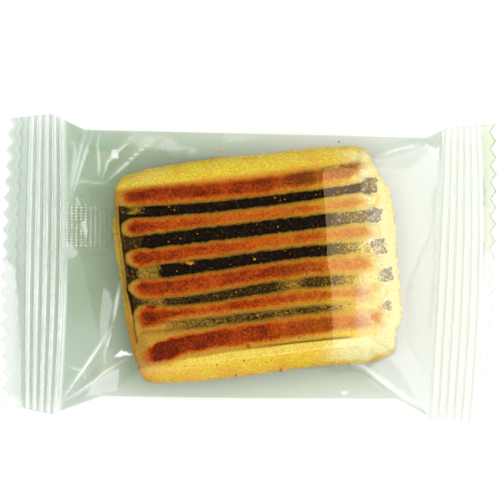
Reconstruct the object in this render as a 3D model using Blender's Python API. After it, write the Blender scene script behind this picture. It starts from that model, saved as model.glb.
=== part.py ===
"""A filled biscuit bar sealed in a clear sachet, as the closed form of the pack.

The film is one tube around the bar. It is closed by a long fin seal that lies
flat under the pack and by a crimped seal at each end, cut off in a zigzag.
The film can't be parted from its air and its bar, so the pack is one solid.
Lengths are in millimetres up to the last step, which turns them into metres.
The pack lies on its fin seal, with the bar's ridged face up and its long side
along X.
"""
from collections import namedtuple

import bmesh
import bpy
import numpy as np

MM = 0.001

# Plan of the pack. Each edge is a line of (x, y) corners: it flares out at
# both seals and runs nearly straight along the bar.
UPPER_EDGE = ((-42.4, 26.6), (-34.8, 27.3), (-29.0, 24.5), (0.0, 23.8),
              (30.9, 23.1), (35.1, 25.0), (43.2, 25.5))
LOWER_EDGE = ((-43.3, -23.6), (-34.9, -25.5), (-26.0, -22.2), (0.0, -22.6),
              (25.6, -22.7), (31.9, -26.1), (40.5, -27.1))

# A line across the pack meets the upper edge at x = upper and the lower edge
# at x = lower, and its middle bows out by bow.
Line = namedtuple("Line", "upper lower bow")
LEFT_TIP = Line(-42.4, -43.3, -0.8)
LEFT_OUTER = Line(-38.9, -39.7, -0.35)
LEFT_INNER = Line(-32.5, -33.7, 0.8)
LEFT_SHOULDER = Line(-29.0, -26.0, 0.0)
RIGHT_SHOULDER = Line(30.9, 25.6, 0.0)
RIGHT_INNER = Line(33.9, 31.1, 0.1)
RIGHT_OUTER = Line(40.4, 39.3, 1.1)
RIGHT_TIP = Line(43.2, 40.5, 1.1)

# End seals: crimped ribs across the pack, then a flat margin cut in teeth.
TEETH = 18
TOOTH_DEPTH = 1.0
RIBS_LEFT = 5
RIBS_RIGHT = 6
RIB_HEIGHT = 0.45
RIB_TOP_SHARE = 0.34
RIB_FOOT_SHARE = 0.62
SEAL_HALF_THICKNESS = 0.25
SEAL_HEIGHT = 4.6
TIP_HEIGHT = 3.8

# The bar inside, which carries the film: its plan turns by BAR_TURN about
# BAR_CENTRE, and its ridges run along its length.
BAR_CENTRE = (1.3, 0.55)
BAR_TURN = np.radians(7.0)
TOP_HALF_LENGTH = 20.5
TOP_HALF_WIDTH = 15.5
TOP_CORNER = 5.0
FILM_TOP = 13.8
FILM_SLOPE_POWER = 1.25
RIDGE_PITCH = 5.16
FIRST_RIDGE = 14.0
RIDGE_DIP = 0.5

# Sides and underside of the tube.
SIDE_FOLD_HEIGHT = 5.2
FOLD_HALF_THICKNESS = 0.15
BASE_HALF_LENGTH = 21.5
BASE_HALF_WIDTH = 16.5
BASE_CORNER = 4.0

# Fin seal flap, in shares of the half width from the middle line. A groove
# runs along each of its edges, where the film spans down from the flap.
FLAP_EDGES = (0.05, 0.57)
GROOVE_HALF_SHARE = 0.03
GROOVE_DEPTH = 0.3

# Folds of the taut film at the ends of the bar: (start, end, height, width).
FOLDS = (
    ((-25.8, 15.0), (-15.0, 23.6), 0.7, 1.3),
    ((-28.2, 23.0), (-31.8, 12.0), 0.7, 1.4),
    ((-24.0, -9.9), (-33.2, -23.3), 0.8, 1.3),
    ((-20.6, -14.8), (-32.9, -23.4), 0.7, 1.4),
    ((17.6, -16.3), (32.1, -25.6), 0.8, 1.5),
    ((21.6, 19.5), (30.7, 22.1), 0.7, 1.3),
    ((21.4, 17.2), (20.7, 11.6), 0.5, 1.2),
)

# Mesh steps.
SEAL_ROWS = 7
TOP_ROWS = 49
BASE_SHARES = (-1.0, -0.92, -0.82, -0.7, -0.4)
BODY_COLUMNS = 36
SHOULDER_COLUMNS = 4

FILM_COLOUR = (0.58, 0.69, 0.60, 1.0)
FILM_ROUGHNESS = 0.12


def clear_scene():
    """Remove every object that the open file holds."""
    for thing in list(bpy.data.objects):
        bpy.data.objects.remove(thing, do_unlink=True)


def blend(first, second, share):
    """The line that lies share of the way from the first line to the second."""
    return Line(*(a + (b - a) * share for a, b in zip(first, second)))


def line_points(line, shares):
    """Plan points of a line at shares from -1, the lower edge, to 1, the upper."""
    shares = np.asarray(shares, dtype=float)
    upper_y = np.interp(line.upper, *np.transpose(UPPER_EDGE))
    lower_y = np.interp(line.lower, *np.transpose(LOWER_EDGE))
    middle_x = (line.upper + line.lower) / 2
    middle_y = (upper_y + lower_y) / 2
    x = middle_x + shares * (line.upper - line.lower) / 2 + line.bow * (1 - shares ** 2)
    y = middle_y + shares * (upper_y - lower_y) / 2
    return np.stack([x, y], axis=-1)


def bar_frame(points):
    """Plan points seen from the bar: along its ridges and across them."""
    away = points - np.array(BAR_CENTRE)
    cosine, sine = np.cos(BAR_TURN), np.sin(BAR_TURN)
    along = away[..., 0] * cosine + away[..., 1] * sine
    across = away[..., 1] * cosine - away[..., 0] * sine
    return along, across


def outside_distance(points, half_length, half_width, corner):
    """How far plan points lie outside a round-cornered rectangle of the bar."""
    along, across = bar_frame(points)
    over_length = np.maximum(np.abs(along) - half_length + corner, 0)
    over_width = np.maximum(np.abs(across) - half_width + corner, 0)
    return np.maximum(np.hypot(over_length, over_width) - corner, 0)


def edge_distance(points, shares, half_width):
    """How far plan points of the tube lie inside its side folds and end seals."""
    to_side = (1 - np.abs(shares)) * half_width
    to_left = points[:, 0] - line_points(LEFT_INNER, shares)[:, 0]
    to_right = line_points(RIGHT_INNER, shares)[:, 0] - points[:, 0]
    return np.maximum(np.minimum(to_side, np.minimum(to_left, to_right)), 0)


def fold_relief(points):
    """Height of the film's folds: a tent that fades out at both ends of a line."""
    relief = np.zeros(len(points))
    for start, end, height, width in FOLDS:
        start = np.array(start)
        run = np.array(end) - start
        share = np.clip((points - start) @ run / (run @ run), 0, 1)
        aside = np.linalg.norm(points - start - share[:, None] * run, axis=1)
        tent = np.maximum(1 - aside / width, 0) * np.sin(np.pi * (0.08 + 0.84 * share))
        relief = np.maximum(relief, height * tent)
    return relief


def fold_height(middle_x):
    """Height of the side fold: lowest at the seals and highest beside the bar."""
    span = (middle_x - LEFT_INNER.upper) / (RIGHT_INNER.upper - LEFT_INNER.upper)
    rise = np.sin(np.pi * np.clip(span, 0, 1))
    return SEAL_HEIGHT + (SIDE_FOLD_HEIGHT - SEAL_HEIGHT) * rise


def upper_film(line, shares):
    """Heights of the upper film on one line across the tube.

    It lies on the bar's top and from there falls to the tube's edge, as a
    share of the way between the two, and it dips a little between ridges.
    """
    points = line_points(line, shares)
    half_width = (points[-1, 1] - points[0, 1]) / 2
    low = fold_height(points[:, 0].mean())
    inside = edge_distance(points, np.asarray(shares), half_width)
    outside = outside_distance(points, TOP_HALF_LENGTH, TOP_HALF_WIDTH, TOP_CORNER)
    way = outside / np.maximum(outside + inside, 1e-6)
    lift = 1 - way ** FILM_SLOPE_POWER
    along, across = bar_frame(points)
    over_top = np.clip((TOP_HALF_LENGTH - np.abs(along)) / 3, 0, 1)
    over_top = over_top * np.clip((TOP_HALF_WIDTH - np.abs(across)) / 2, 0, 1)
    valley = 0.5 - 0.5 * np.cos(2 * np.pi * (across - FIRST_RIDGE) / RIDGE_PITCH)
    heights = low + (FILM_TOP - low) * lift - RIDGE_DIP * valley * over_top
    heights = heights + fold_relief(points) * (lift < 0.98)
    return np.maximum(heights, low + FOLD_HALF_THICKNESS)


def lower_film(line, shares):
    """Heights of the lower film: flat under the bar, then up to the folds."""
    shares = np.asarray(shares)
    points = line_points(line, shares)
    half_width = (points[-1, 1] - points[0, 1]) / 2
    low = fold_height(points[:, 0].mean())
    inside = edge_distance(points, shares, half_width)
    outside = outside_distance(points, BASE_HALF_LENGTH, BASE_HALF_WIDTH, BASE_CORNER)
    way = outside / np.maximum(outside + inside, 1e-6)
    groove = np.isclose(shares, FLAP_EDGES[0]) | np.isclose(shares, FLAP_EDGES[1])
    heights = (low - FOLD_HALF_THICKNESS) * way ** FILM_SLOPE_POWER
    return heights + GROOVE_DEPTH * groove * (1 - way)


def base_shares():
    """Shares of the lower film's rows, with three for each edge of the flap."""
    flap = [edge + side * GROOVE_HALF_SHARE for edge in FLAP_EDGES for side in (-1, 0, 1)]
    mirrored = [-share for share in BASE_SHARES[:-1]]
    return np.array(sorted(list(BASE_SHARES) + flap + mirrored))


def crimp_steps(ribs):
    """Places across a crimp band, from 0 to 1, with the height of the film there.

    Each rib is a low trapezoid: two feet and the two edges of its flat top.
    """
    steps = [(0.0, 0.0)]
    for rib in range(ribs):
        centre = (rib + 0.5) / ribs
        foot = RIB_FOOT_SHARE / ribs / 2
        top = RIB_TOP_SHARE / ribs / 2
        steps += [(centre - foot, 0.0), (centre - top, RIB_HEIGHT),
                  (centre + top, RIB_HEIGHT), (centre + foot, 0.0)]
    return steps + [(1.0, 0.0)]


def column(mesh, line, shares, heights):
    """A row of new vertices along a line across the pack."""
    points = line_points(line, shares)
    heights = np.broadcast_to(heights, len(points))
    return [mesh.verts.new((x * MM, y * MM, z * MM)) for (x, y), z in zip(points, heights)]


def zigzag_column(mesh, tip, inward, height):
    """The cut end: every second vertex stands back by the depth of a tooth."""
    shares = np.linspace(-1, 1, 2 * TEETH + 1)
    points = line_points(tip, shares)
    points[1::2, 0] += inward * TOOTH_DEPTH
    return [mesh.verts.new((x * MM, y * MM, height * MM)) for x, y in points]


def zip_columns(mesh, left, right, face_up):
    """Fill the strip between two columns that may have different counts."""
    i = j = 0
    while i < len(left) - 1 or j < len(right) - 1:
        go_left = j == len(right) - 1 or (
            i < len(left) - 1 and (i + 1) / (len(left) - 1) <= (j + 1) / (len(right) - 1))
        if go_left:
            corners = [left[i], right[j], left[i + 1]]
            i += 1
        else:
            corners = [left[i], right[j], right[j + 1]]
            j += 1
        mesh.faces.new(corners if face_up else corners[::-1])


def seal_columns(mesh, side, tip, outer, inner, ribs, inward):
    """One face of an end seal: the cut end, then the crimp band, outside first."""
    shares = np.linspace(-1, 1, SEAL_ROWS)
    offset = side * SEAL_HALF_THICKNESS
    columns = [zigzag_column(mesh, tip, inward, TIP_HEIGHT + offset)]
    for place, rise in crimp_steps(ribs):
        middle = TIP_HEIGHT + (SEAL_HEIGHT - TIP_HEIGHT) * place
        columns.append(column(mesh, blend(outer, inner, place), shares, middle + offset + rise))
    return columns


def body_lines():
    """Lines across the tube between the two seals."""
    spans = ((LEFT_INNER, LEFT_SHOULDER, SHOULDER_COLUMNS),
             (LEFT_SHOULDER, RIGHT_SHOULDER, BODY_COLUMNS),
             (RIGHT_SHOULDER, RIGHT_INNER, SHOULDER_COLUMNS))
    lines = [blend(start, end, step / count)
             for start, end, count in spans for step in range(count)]
    return lines[1:]


def sheet_columns(mesh, side):
    """All columns of the upper face (side 1) or lower face (side -1)."""
    film = upper_film if side > 0 else lower_film
    shares = np.linspace(-1, 1, TOP_ROWS) if side > 0 else base_shares()
    left = seal_columns(mesh, side, LEFT_TIP, LEFT_OUTER, LEFT_INNER, RIBS_LEFT, 1)
    body = [column(mesh, line, shares, film(line, shares)) for line in body_lines()]
    right = seal_columns(mesh, side, RIGHT_TIP, RIGHT_OUTER, RIGHT_INNER, RIBS_RIGHT, -1)
    return left + body + right[::-1]


def close_rim(mesh, upper, lower):
    """Join the two faces all round with a thin wall."""
    def wall(top_run, bottom_run):
        for k in range(len(top_run) - 1):
            mesh.faces.new([bottom_run[k], bottom_run[k + 1], top_run[k + 1], top_run[k]])

    wall([c[0] for c in upper], [c[0] for c in lower])
    wall([c[-1] for c in upper][::-1], [c[-1] for c in lower][::-1])
    wall(upper[0][::-1], lower[0][::-1])
    wall(upper[-1], lower[-1])


def film_material():
    """Thin clear film with a faint green-grey tint, glossy."""
    material = bpy.data.materials.new("clear_film")
    material.use_nodes = True
    shader = material.node_tree.nodes["Principled BSDF"]
    shader.inputs["Base Color"].default_value = FILM_COLOUR
    shader.inputs["Roughness"].default_value = FILM_ROUGHNESS
    shader.inputs["Metallic"].default_value = 0.0
    material.diffuse_color = FILM_COLOUR
    return material


def centre_on_base(mesh):
    """Put the middle of the pack's box at x = y = 0 and its lowest point at 0."""
    places = np.array([vertex.co for vertex in mesh.verts])
    low, high = places.min(axis=0), places.max(axis=0)
    shift = (-(low[0] + high[0]) / 2, -(low[1] + high[1]) / 2, -low[2])
    bmesh.ops.translate(mesh, verts=mesh.verts, vec=shift)


def build_pack():
    """Make the closed solid of the sealed pack."""
    mesh = bmesh.new()
    upper = sheet_columns(mesh, 1)
    lower = sheet_columns(mesh, -1)
    for left, right in zip(upper[:-1], upper[1:]):
        zip_columns(mesh, left, right, face_up=True)
    for left, right in zip(lower[:-1], lower[1:]):
        zip_columns(mesh, left, right, face_up=False)
    close_rim(mesh, upper, lower)
    centre_on_base(mesh)
    bmesh.ops.recalc_face_normals(mesh, faces=mesh.faces)
    data = bpy.data.meshes.new("sealed_pack")
    mesh.to_mesh(data)
    mesh.free()
    data.shade_smooth()
    data.set_sharp_from_angle(angle=np.radians(32))
    pack = bpy.data.objects.new("sealed_pack", data)
    pack.data.materials.append(film_material())
    bpy.context.scene.collection.objects.link(pack)
    return pack


def main():
    """Build the pack in an empty scene and print its size."""
    clear_scene()
    pack = build_pack()
    size = [round(length / MM, 2) for length in pack.dimensions]
    print("sealed_pack", size, "mm,", len(pack.data.polygons), "faces")


main()
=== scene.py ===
# %% [markdown]
# # A date maamoul bar in its clear pack
#
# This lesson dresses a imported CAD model. The CAD holds one solid: the closed
# form of a small flow-wrap pack. Here that solid is replaced by what the eye
# sees: a bag of thin clear film, the seal along its back, the baked bar with
# its ridges and slits, the date paste that shows in the slits, and crumbs.
# Every shape is worked out with numpy from sizes in millimetres, so that a
# reader can follow how a number becomes a form.

import bmesh
import bpy
import numpy as np
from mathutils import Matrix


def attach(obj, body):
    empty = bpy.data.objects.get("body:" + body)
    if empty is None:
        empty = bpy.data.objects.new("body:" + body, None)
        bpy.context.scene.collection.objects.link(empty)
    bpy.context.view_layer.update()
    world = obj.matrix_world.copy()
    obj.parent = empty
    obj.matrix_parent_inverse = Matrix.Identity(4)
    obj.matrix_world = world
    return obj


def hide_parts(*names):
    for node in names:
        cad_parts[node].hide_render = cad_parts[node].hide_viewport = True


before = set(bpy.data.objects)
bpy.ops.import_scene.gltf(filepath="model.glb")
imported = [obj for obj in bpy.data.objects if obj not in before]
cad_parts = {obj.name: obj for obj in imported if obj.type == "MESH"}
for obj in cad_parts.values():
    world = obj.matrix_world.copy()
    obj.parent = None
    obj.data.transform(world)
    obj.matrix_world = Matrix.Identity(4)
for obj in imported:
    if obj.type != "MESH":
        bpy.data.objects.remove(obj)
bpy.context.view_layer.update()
MM = 0.001
# What two numbers may differ by through rounding alone.
ROUNDING = 1e-6
print("solids in the frame", len(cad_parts))

# %% [markdown]
# ## Small tools for meshes
#
# A surface that is a function of two numbers becomes a grid of points. Its
# faces are the same for every grid, so one function makes them. Another walks
# round the border, because a closed skin is two grids, one over the other, with
# a wall between their borders.

# %% Grid faces and borders
def grid_quads(rows, columns, start=0, up=True):
    """Four-sided faces of a grid of rows x columns points, numbered row by row."""
    corner = np.arange(rows * columns).reshape(rows, columns) + start
    quads = np.stack([corner[:-1, :-1], corner[1:, :-1], corner[1:, 1:], corner[:-1, 1:]], -1)
    quads = quads.reshape(-1, 4)
    return quads if up else quads[:, ::-1]


def border(rows, columns, start=0):
    """Point numbers once round a grid: along the first column, then clockwise in numbers."""
    corner = np.arange(rows * columns).reshape(rows, columns) + start
    return np.concatenate([corner[:-1, 0], corner[-1, :-1], corner[:0:-1, -1], corner[0, :0:-1]])


def wall_quads(upper, lower):
    """Faces that join two closed loops of the same length, point by point."""
    return np.stack([upper, np.roll(upper, -1), np.roll(lower, -1), lower], -1)[:, ::-1]


def closed_skin(rows, columns):
    """Faces of two grids, one above the other, and of the wall that joins their borders."""
    count = rows * columns
    return [grid_quads(rows, columns), grid_quads(rows, columns, count, up=False),
            wall_quads(border(rows, columns), border(rows, columns, count))]


def grid_points(x, y, *heights):
    """Points of grids that share their plan, one grid for each array of heights."""
    return np.concatenate([np.stack([x, y, z], -1).reshape(-1, 3) for z in heights])


def make_piece(name, points, faces, material, masks=None):
    """A smooth mesh object from points in mm, face arrays and one number per point and mask."""
    corners = np.concatenate([group.ravel() for group in faces])
    sizes = np.concatenate([np.full(len(group), group.shape[1]) for group in faces])
    mesh = bpy.data.meshes.new(name)
    mesh.vertices.add(len(points))
    mesh.vertices.foreach_set("co", (points * MM).astype(np.float32).ravel())
    mesh.loops.add(len(corners))
    mesh.loops.foreach_set("vertex_index", corners.astype(np.int32))
    mesh.polygons.add(len(sizes))
    mesh.polygons.foreach_set("loop_start", (np.cumsum(sizes) - sizes).astype(np.int32))
    mesh.polygons.foreach_set("use_smooth", np.ones(len(sizes), bool))
    mesh.update(calc_edges=True)
    for mask, values in (masks or {}).items():
        layer = mesh.attributes.new(mask, "FLOAT", "POINT")
        layer.data.foreach_set("value", np.asarray(values, np.float32).ravel())
    mesh.materials.append(material)
    piece = bpy.data.objects.new(name, mesh)
    bpy.context.scene.collection.objects.link(piece)
    triangles = int((sizes - 2).sum())
    print(name, len(points), "points,", triangles, "triangles")
    return piece


# %% [markdown]
# Real surfaces are never quite even. `soft_noise` gives a gentle unevenness:
# random heights at the corners of squares, joined by smooth slopes. The
# numbers are drawn with a fixed seed, so every run gives the same surface.

# %% Smooth random heights and soft steps
def soft_noise(x, y, grain, seed):
    """Random values from -1 to 1 at the corners of squares of side grain, smoothly joined."""
    table = np.random.default_rng(seed).uniform(-1, 1, (256, 256))
    x, y = x / grain + 37.3, y / grain + 81.7
    column, row = np.floor(x).astype(int), np.floor(y).astype(int)
    x, y = x - column, y - row
    x, y = x * x * (3 - 2 * x), y * y * (3 - 2 * y)
    low = table[column % 256, row % 256] * (1 - x) + table[(column + 1) % 256, row % 256] * x
    high = (table[column % 256, (row + 1) % 256] * (1 - x)
            + table[(column + 1) % 256, (row + 1) % 256] * x)
    return low * (1 - y) + high * y


def step(value, start, end):
    """0 before start, 1 after end, and a smooth S between them."""
    share = np.clip((value - start) / (end - start), 0, 1)
    return share * share * (3 - 2 * share)


def bell(value, centre, width):
    """1 at the centre, falling off to both sides: e to the minus (distance / width) squared."""
    return np.exp(-((value - centre) / width) ** 2)


def soft_min(first, second, width):
    """The lower of two heights, rounded over where they are within width of each other."""
    near = np.clip(0.5 + (second - first) / (2 * width), 0, 1)
    return second + (first - second) * near - width * near * (1 - near)


# %% [markdown]
# ## Tools for materials
#
# Colours are written as the hex values that a paint program shows. Blender
# computes with light, so one function turns them to linear numbers. Another
# adds a node with its settings and links in one line. Most of the crust's
# colours lie over one another like coats of glaze, so a third lays coats.

# %% Colour and node helpers
def linear(hex_colour):
    """An sRGB hex colour as linear red, green, blue and 1."""
    parts = np.array([int(hex_colour[k:k + 2], 16) for k in (1, 3, 5)]) / 255
    parts = np.where(parts <= 0.04045, parts / 12.92, ((parts + 0.055) / 1.055) ** 2.4)
    return (*parts.tolist(), 1.0)


# Settings of a Math node, for first x second and for first x second + third.
TIMES, TIMES_PLUS = {"operation": "MULTIPLY"}, {"operation": "MULTIPLY_ADD"}


def add_node(tree, kind, settings=None, stops=(), **sockets):
    """A node with its settings and links.

    A socket takes a number, a hex colour or the output that feeds it. It is named, or
    numbered as _0, _1 and so on. Stops are the (place, hex colour) pairs of a ramp.
    """
    node = tree.nodes.new(kind)
    for key, value in (settings or {}).items():
        setattr(node, key, value)
    for key, value in sockets.items():
        socket = node.inputs[int(key[1:]) if key[0] == "_" else key.replace("_", " ")]
        if isinstance(value, bpy.types.NodeSocket):
            tree.links.new(value, socket)
        else:
            socket.default_value = linear(value) if isinstance(value, str) else value
    if stops:
        elements = node.color_ramp.elements
        while len(elements) < len(stops):
            elements.new(0.5)
        for element, (place, colour) in zip(elements, stops):
            element.position = place
            element.color = linear(colour)
    return node


def lay_over(tree, colour, coats):
    """A colour after each (mask, coat) in turn has covered it by its mask."""
    for mask, coat in coats:
        colour = add_node(tree, "ShaderNodeMix", {"data_type": "RGBA"}, _0=mask, _6=colour,
                          _7=coat).outputs[2]
    return colour


def new_material(name):
    """An empty node material with its output node."""
    material = bpy.data.materials.new(name)
    material.use_nodes = True
    material.node_tree.nodes.clear()
    return material, material.node_tree, material.node_tree.nodes.new("ShaderNodeOutputMaterial")


# %% [markdown]
# ## The film as a clear material
#
# The pack is polypropylene film, about 0.04 mm thick, stretched in both
# directions, which makes it clear and glossy. Glass shaders bend light as a
# thick block would. A sheet this thin only tints and mirrors, so a Transparent
# shader carries a faint grey-green, and a Glossy shader lies over it by
# Fresnel. Both faces of a sheet mirror, so the index, 1.62, is above the 1.49
# of polypropylene, and it was matched to the object. Seen from its back, a
# surface is taken to be the inside of a solid block, which would mirror too
# much, so the index is turned over there. The fin seal lies against the sheet
# above it and has hardly a mirror of its own, so its index is near 1.
#
# Four masks on the mesh say what the film does where. Haze and highlight is the milky white of
# creased and crimped film, together with painted highlights, sheens and glints. Shade is painted
# shade: the green of film beside the bar, and of the bends in the seals. Knurl glints paints the
# glints of the pressed seal behind as dots. Contact takes the mirror away where film lies on the
# crust.

# %% Clear film material
# Places and sizes in mm: first knurl bar, knurl bars, beads in a bar, worn patches.
KNURL_START, KNURL_PITCH, BEAD_PITCH, WEAR_SIZE = 0.36, 0.85, 0.51, 0.9


def crests(tree, value, start, pitch, low, high):
    """A wave along value with crests at start + k pitch (mm), cut to 0 at low and 1 at high."""
    turns = add_node(tree, "ShaderNodeMath", TIMES_PLUS, _0=value,
                     _1=2 * np.pi / (pitch * MM), _2=-2 * np.pi * start / pitch)
    wave = add_node(tree, "ShaderNodeMath", {"operation": "COSINE"}, _0=turns.outputs[0])
    return add_node(tree, "ShaderNodeMapRange", Value=wave.outputs[0], From_Min=low,
                    From_Max=high).outputs[0]


def film_material(name, tint, index, mirror_roughness):
    """Clear sheet: tinted see-through, green by painted shade, white by haze and painted
    highlights, dotted by painted glints of the knurl.
    """
    material, tree, output = new_material(name)
    shade, haze_and_highlight, knurl_glints, contact = (
        add_node(tree, "ShaderNodeAttribute", {"attribute_name": mask}).outputs["Fac"]
        for mask in ("shade", "haze_and_highlight", "knurl_glints", "contact"))

    # Dots of painted glint: beads along each bar of the knurl, some of them worn away.
    place = add_node(tree, "ShaderNodeTexCoord").outputs["Object"]
    axes = add_node(tree, "ShaderNodeSeparateXYZ", Vector=place).outputs
    bars = crests(tree, axes["X"], KNURL_START, KNURL_PITCH, 0.2, 0.9)
    beads = crests(tree, axes["Y"], 0.0, BEAD_PITCH, 0.25, 0.95)
    worn = add_node(tree, "ShaderNodeTexNoise", Vector=place, Scale=1 / (WEAR_SIZE * MM))
    kept = add_node(tree, "ShaderNodeMapRange", Value=worn.outputs["Fac"], From_Min=0.3,
                    From_Max=0.5)
    beads = add_node(tree, "ShaderNodeMath", TIMES, _0=beads, _1=kept.outputs[0])
    beads = add_node(tree, "ShaderNodeMath", TIMES_PLUS, _0=beads.outputs[0], _1=0.95, _2=0.08)
    dots = add_node(tree, "ShaderNodeMath", TIMES, _0=bars, _1=beads.outputs[0])
    dots = add_node(tree, "ShaderNodeMath", TIMES, _0=dots.outputs[0], _1=knurl_glints)
    white = add_node(tree, "ShaderNodeMath", {"operation": "MAXIMUM"}, _0=dots.outputs[0], _1=haze_and_highlight)

    # The sheet itself, clear, then green by painted shade, then milky white, which also carries the
    # painted highlights.
    clear = add_node(tree, "ShaderNodeBsdfTransparent", Color=tint)
    green = add_node(tree, "ShaderNodeBsdfDiffuse", Color="#6c9d4c")
    milky_and_highlight = add_node(tree, "ShaderNodeBsdfDiffuse", Color="#fbfdfa", Roughness=0.3)
    tinted = add_node(tree, "ShaderNodeMixShader", _0=shade, _1=clear.outputs[0],
                      _2=green.outputs[0])
    body = add_node(tree, "ShaderNodeMixShader", _0=white.outputs[0], _1=tinted.outputs[0],
                    _2=milky_and_highlight.outputs[0])

    # The mirror over it, by Fresnel, except where the film lies on the crust.
    mirror = add_node(tree, "ShaderNodeBsdfGlossy", Color="#ffffff", Roughness=mirror_roughness)
    behind = add_node(tree, "ShaderNodeNewGeometry").outputs["Backfacing"]
    side_index = add_node(tree, "ShaderNodeMapRange", Value=behind, To_Min=index,
                          To_Max=1 / index).outputs[0]
    fresnel = add_node(tree, "ShaderNodeFresnel", IOR=side_index)
    free = add_node(tree, "ShaderNodeMath", {"operation": "SUBTRACT"}, _0=1.0, _1=contact)
    shine = add_node(tree, "ShaderNodeMath", TIMES, _0=fresnel.outputs[0], _1=free.outputs[0])
    sheet = add_node(tree, "ShaderNodeMixShader", _0=shine.outputs[0], _1=body.outputs[0],
                     _2=mirror.outputs[0])
    tree.links.new(sheet.outputs[0], output.inputs["Surface"])
    return material


PACK_FILM = film_material("clear_polypropylene_film", "#f0f4f1", 1.62, 0.035)
FIN_FILM = film_material("sealed_polypropylene_film", "#ffffff", 1.12, 0.1)
print("film materials", PACK_FILM.name, "and", FIN_FILM.name)

# %% [markdown]
# ## Plan of the pack
#
# The CAD describes the pack by lines across it. Each line meets the upper edge
# at one x, the lower edge at another, and its middle bows out a little. The
# same named sizes are used here, so the film keeps the form of the solid.

# %% Lines across the pack
UPPER_EDGE = np.array([(-42.4, 26.6), (-34.8, 27.3), (-29.0, 24.5), (0.0, 23.8),
                       (30.9, 23.1), (35.1, 25.0), (43.2, 25.5)])
LOWER_EDGE = np.array([(-43.3, -23.6), (-34.9, -25.5), (-26.0, -22.2), (0.0, -22.6),
                       (25.6, -22.7), (31.9, -26.1), (40.5, -27.1)])
LEFT_TIP, LEFT_OUTER = (-42.4, -43.3, -0.8), (-38.9, -39.7, -0.35)
LEFT_INNER, LEFT_SHOULDER = (-32.5, -33.7, 0.8), (-29.0, -26.0, 0.0)
RIGHT_SHOULDER, RIGHT_INNER = (30.9, 25.6, 0.0), (33.9, 31.1, 0.1)
RIGHT_OUTER, RIGHT_TIP = (40.4, 39.3, 1.1), (43.2, 40.5, 1.1)
TEETH, TOOTH_DEPTH = 18, 1.0
RIBS_LEFT, RIBS_RIGHT = 5, 6


def line_points(lines, shares):
    """Plan points of each line at shares from -1, the lower edge, to 1, the upper."""
    upper_x, lower_x, bow = (lines[:, k, None] for k in range(3))
    upper_y = np.interp(upper_x, *UPPER_EDGE.T)
    lower_y = np.interp(lower_x, *LOWER_EDGE.T)
    x = (upper_x + lower_x) / 2 + shares * (upper_x - lower_x) / 2 + bow * (1 - shares ** 2)
    y = (upper_y + lower_y) / 2 + shares * (upper_y - lower_y) / 2
    return x, y


def between(first, second, places):
    """Lines that lie at places, from 0 to 1, of the way from one line to another."""
    first, second = np.array(first), np.array(second)
    return first + (second - first) * np.asarray(places)[:, None]


# %% [markdown]
# The sheet needs small faces only where something fine happens: twelve lines
# for each crimp rib, a quarter of a millimetre beside the bar where the film
# is folded, and wide steps over the bar, where it is taut.

# %% Where the sheet has its lines
RIB_PHASES = np.array([0.0, 0.1, 0.2, 0.25, 0.3, 0.35, 0.42, 0.64, 0.69, 0.74, 0.8, 0.88])
# Stretches of the way over the bar: start, end and number of lines.
STRETCHES = ((0, 0.12, 28), (0.12, 0.66, 36), (0.66, 0.75, 20), (0.75, 0.86, 10), (0.86, 1, 42))
OVER_BAR = np.concatenate([np.linspace(*stretch, endpoint=False) for stretch in STRETCHES])


def rib_places(ribs):
    """Places from 0 to 1 across a seal, at the same phases in each of its ribs."""
    return ((np.arange(ribs)[:, None] + RIB_PHASES) / ribs).ravel()


LINES = np.concatenate([
    between(LEFT_TIP, LEFT_OUTER, np.linspace(0, 1, 9, endpoint=False)),
    between(LEFT_OUTER, LEFT_INNER, rib_places(RIBS_LEFT)),
    between(LEFT_INNER, LEFT_SHOULDER, np.linspace(0, 1, 22, endpoint=False)),
    between(LEFT_SHOULDER, RIGHT_SHOULDER, OVER_BAR),
    between(RIGHT_SHOULDER, RIGHT_INNER, np.linspace(0, 1, 14, endpoint=False)),
    between(RIGHT_INNER, RIGHT_OUTER, 1 - rib_places(RIBS_RIGHT)[::-1]),
    between(RIGHT_OUTER, RIGHT_TIP, np.linspace(0, 1, 9)),
])
STEPS_PER_TOOTH = 8
SHARES = np.linspace(-1, 1, TEETH * STEPS_PER_TOOTH + 1)
SHEET_X, SHEET_Y = line_points(LINES, SHARES)
print("film grid", SHEET_X.shape)


def band_place(lines, outer, inner):
    """Place of each line in a crimp band, from 0 at its outside to 1 at its inside."""
    return (lines[:, 0] - outer[0]) / (inner[0] - outer[0])


LEFT_PLACE = band_place(LINES, LEFT_OUTER, LEFT_INNER)[:, None]
RIGHT_PLACE = band_place(LINES, RIGHT_OUTER, RIGHT_INNER)[:, None]

# The CAD puts the middle of the pack's box at x = y = 0; the same shift here.
PLAN_SHIFT = -np.array([SHEET_X.min() + SHEET_X.max(), SHEET_Y.min() + SHEET_Y.max()]) / 2
print("shift of the plan in mm", np.round(PLAN_SHIFT, 3))

# %% [markdown]
# ## Heights of the film
#
# The film lies on the bar's top. From the bar's edge it falls to the seals and
# to the folds at its sides, steeper the further out it gets. The share of the
# way between bar and edge gives the height at each point, for the upper and
# for the lower sheet alike.

# %% The taut form of both sheets
BAR_CENTRE, BAR_TURN = np.array([1.3, 0.55]), np.radians(7.0)
FILM_TOP, SLOPE_POWER = 13.8, 1.25
SEAL_HEIGHT, TIP_HEIGHT, SIDE_FOLD_HEIGHT = 4.6, 3.8, 5.2
HALF_SHEET = 0.06
FLOOR_GAP = 0.15
# Where each sheet lies flat on the bar: half length, half width and corner radius.
TAUT_TOP, TAUT_BASE = (20.5, 15.5, 5.0), (21.5, 16.5, 4.0)


def bar_frame(x, y, turn=BAR_TURN):
    """Plan points seen from the bar: along its ridges and across them."""
    x, y = x - BAR_CENTRE[0], y - BAR_CENTRE[1]
    return x * np.cos(turn) + y * np.sin(turn), y * np.cos(turn) - x * np.sin(turn)


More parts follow.
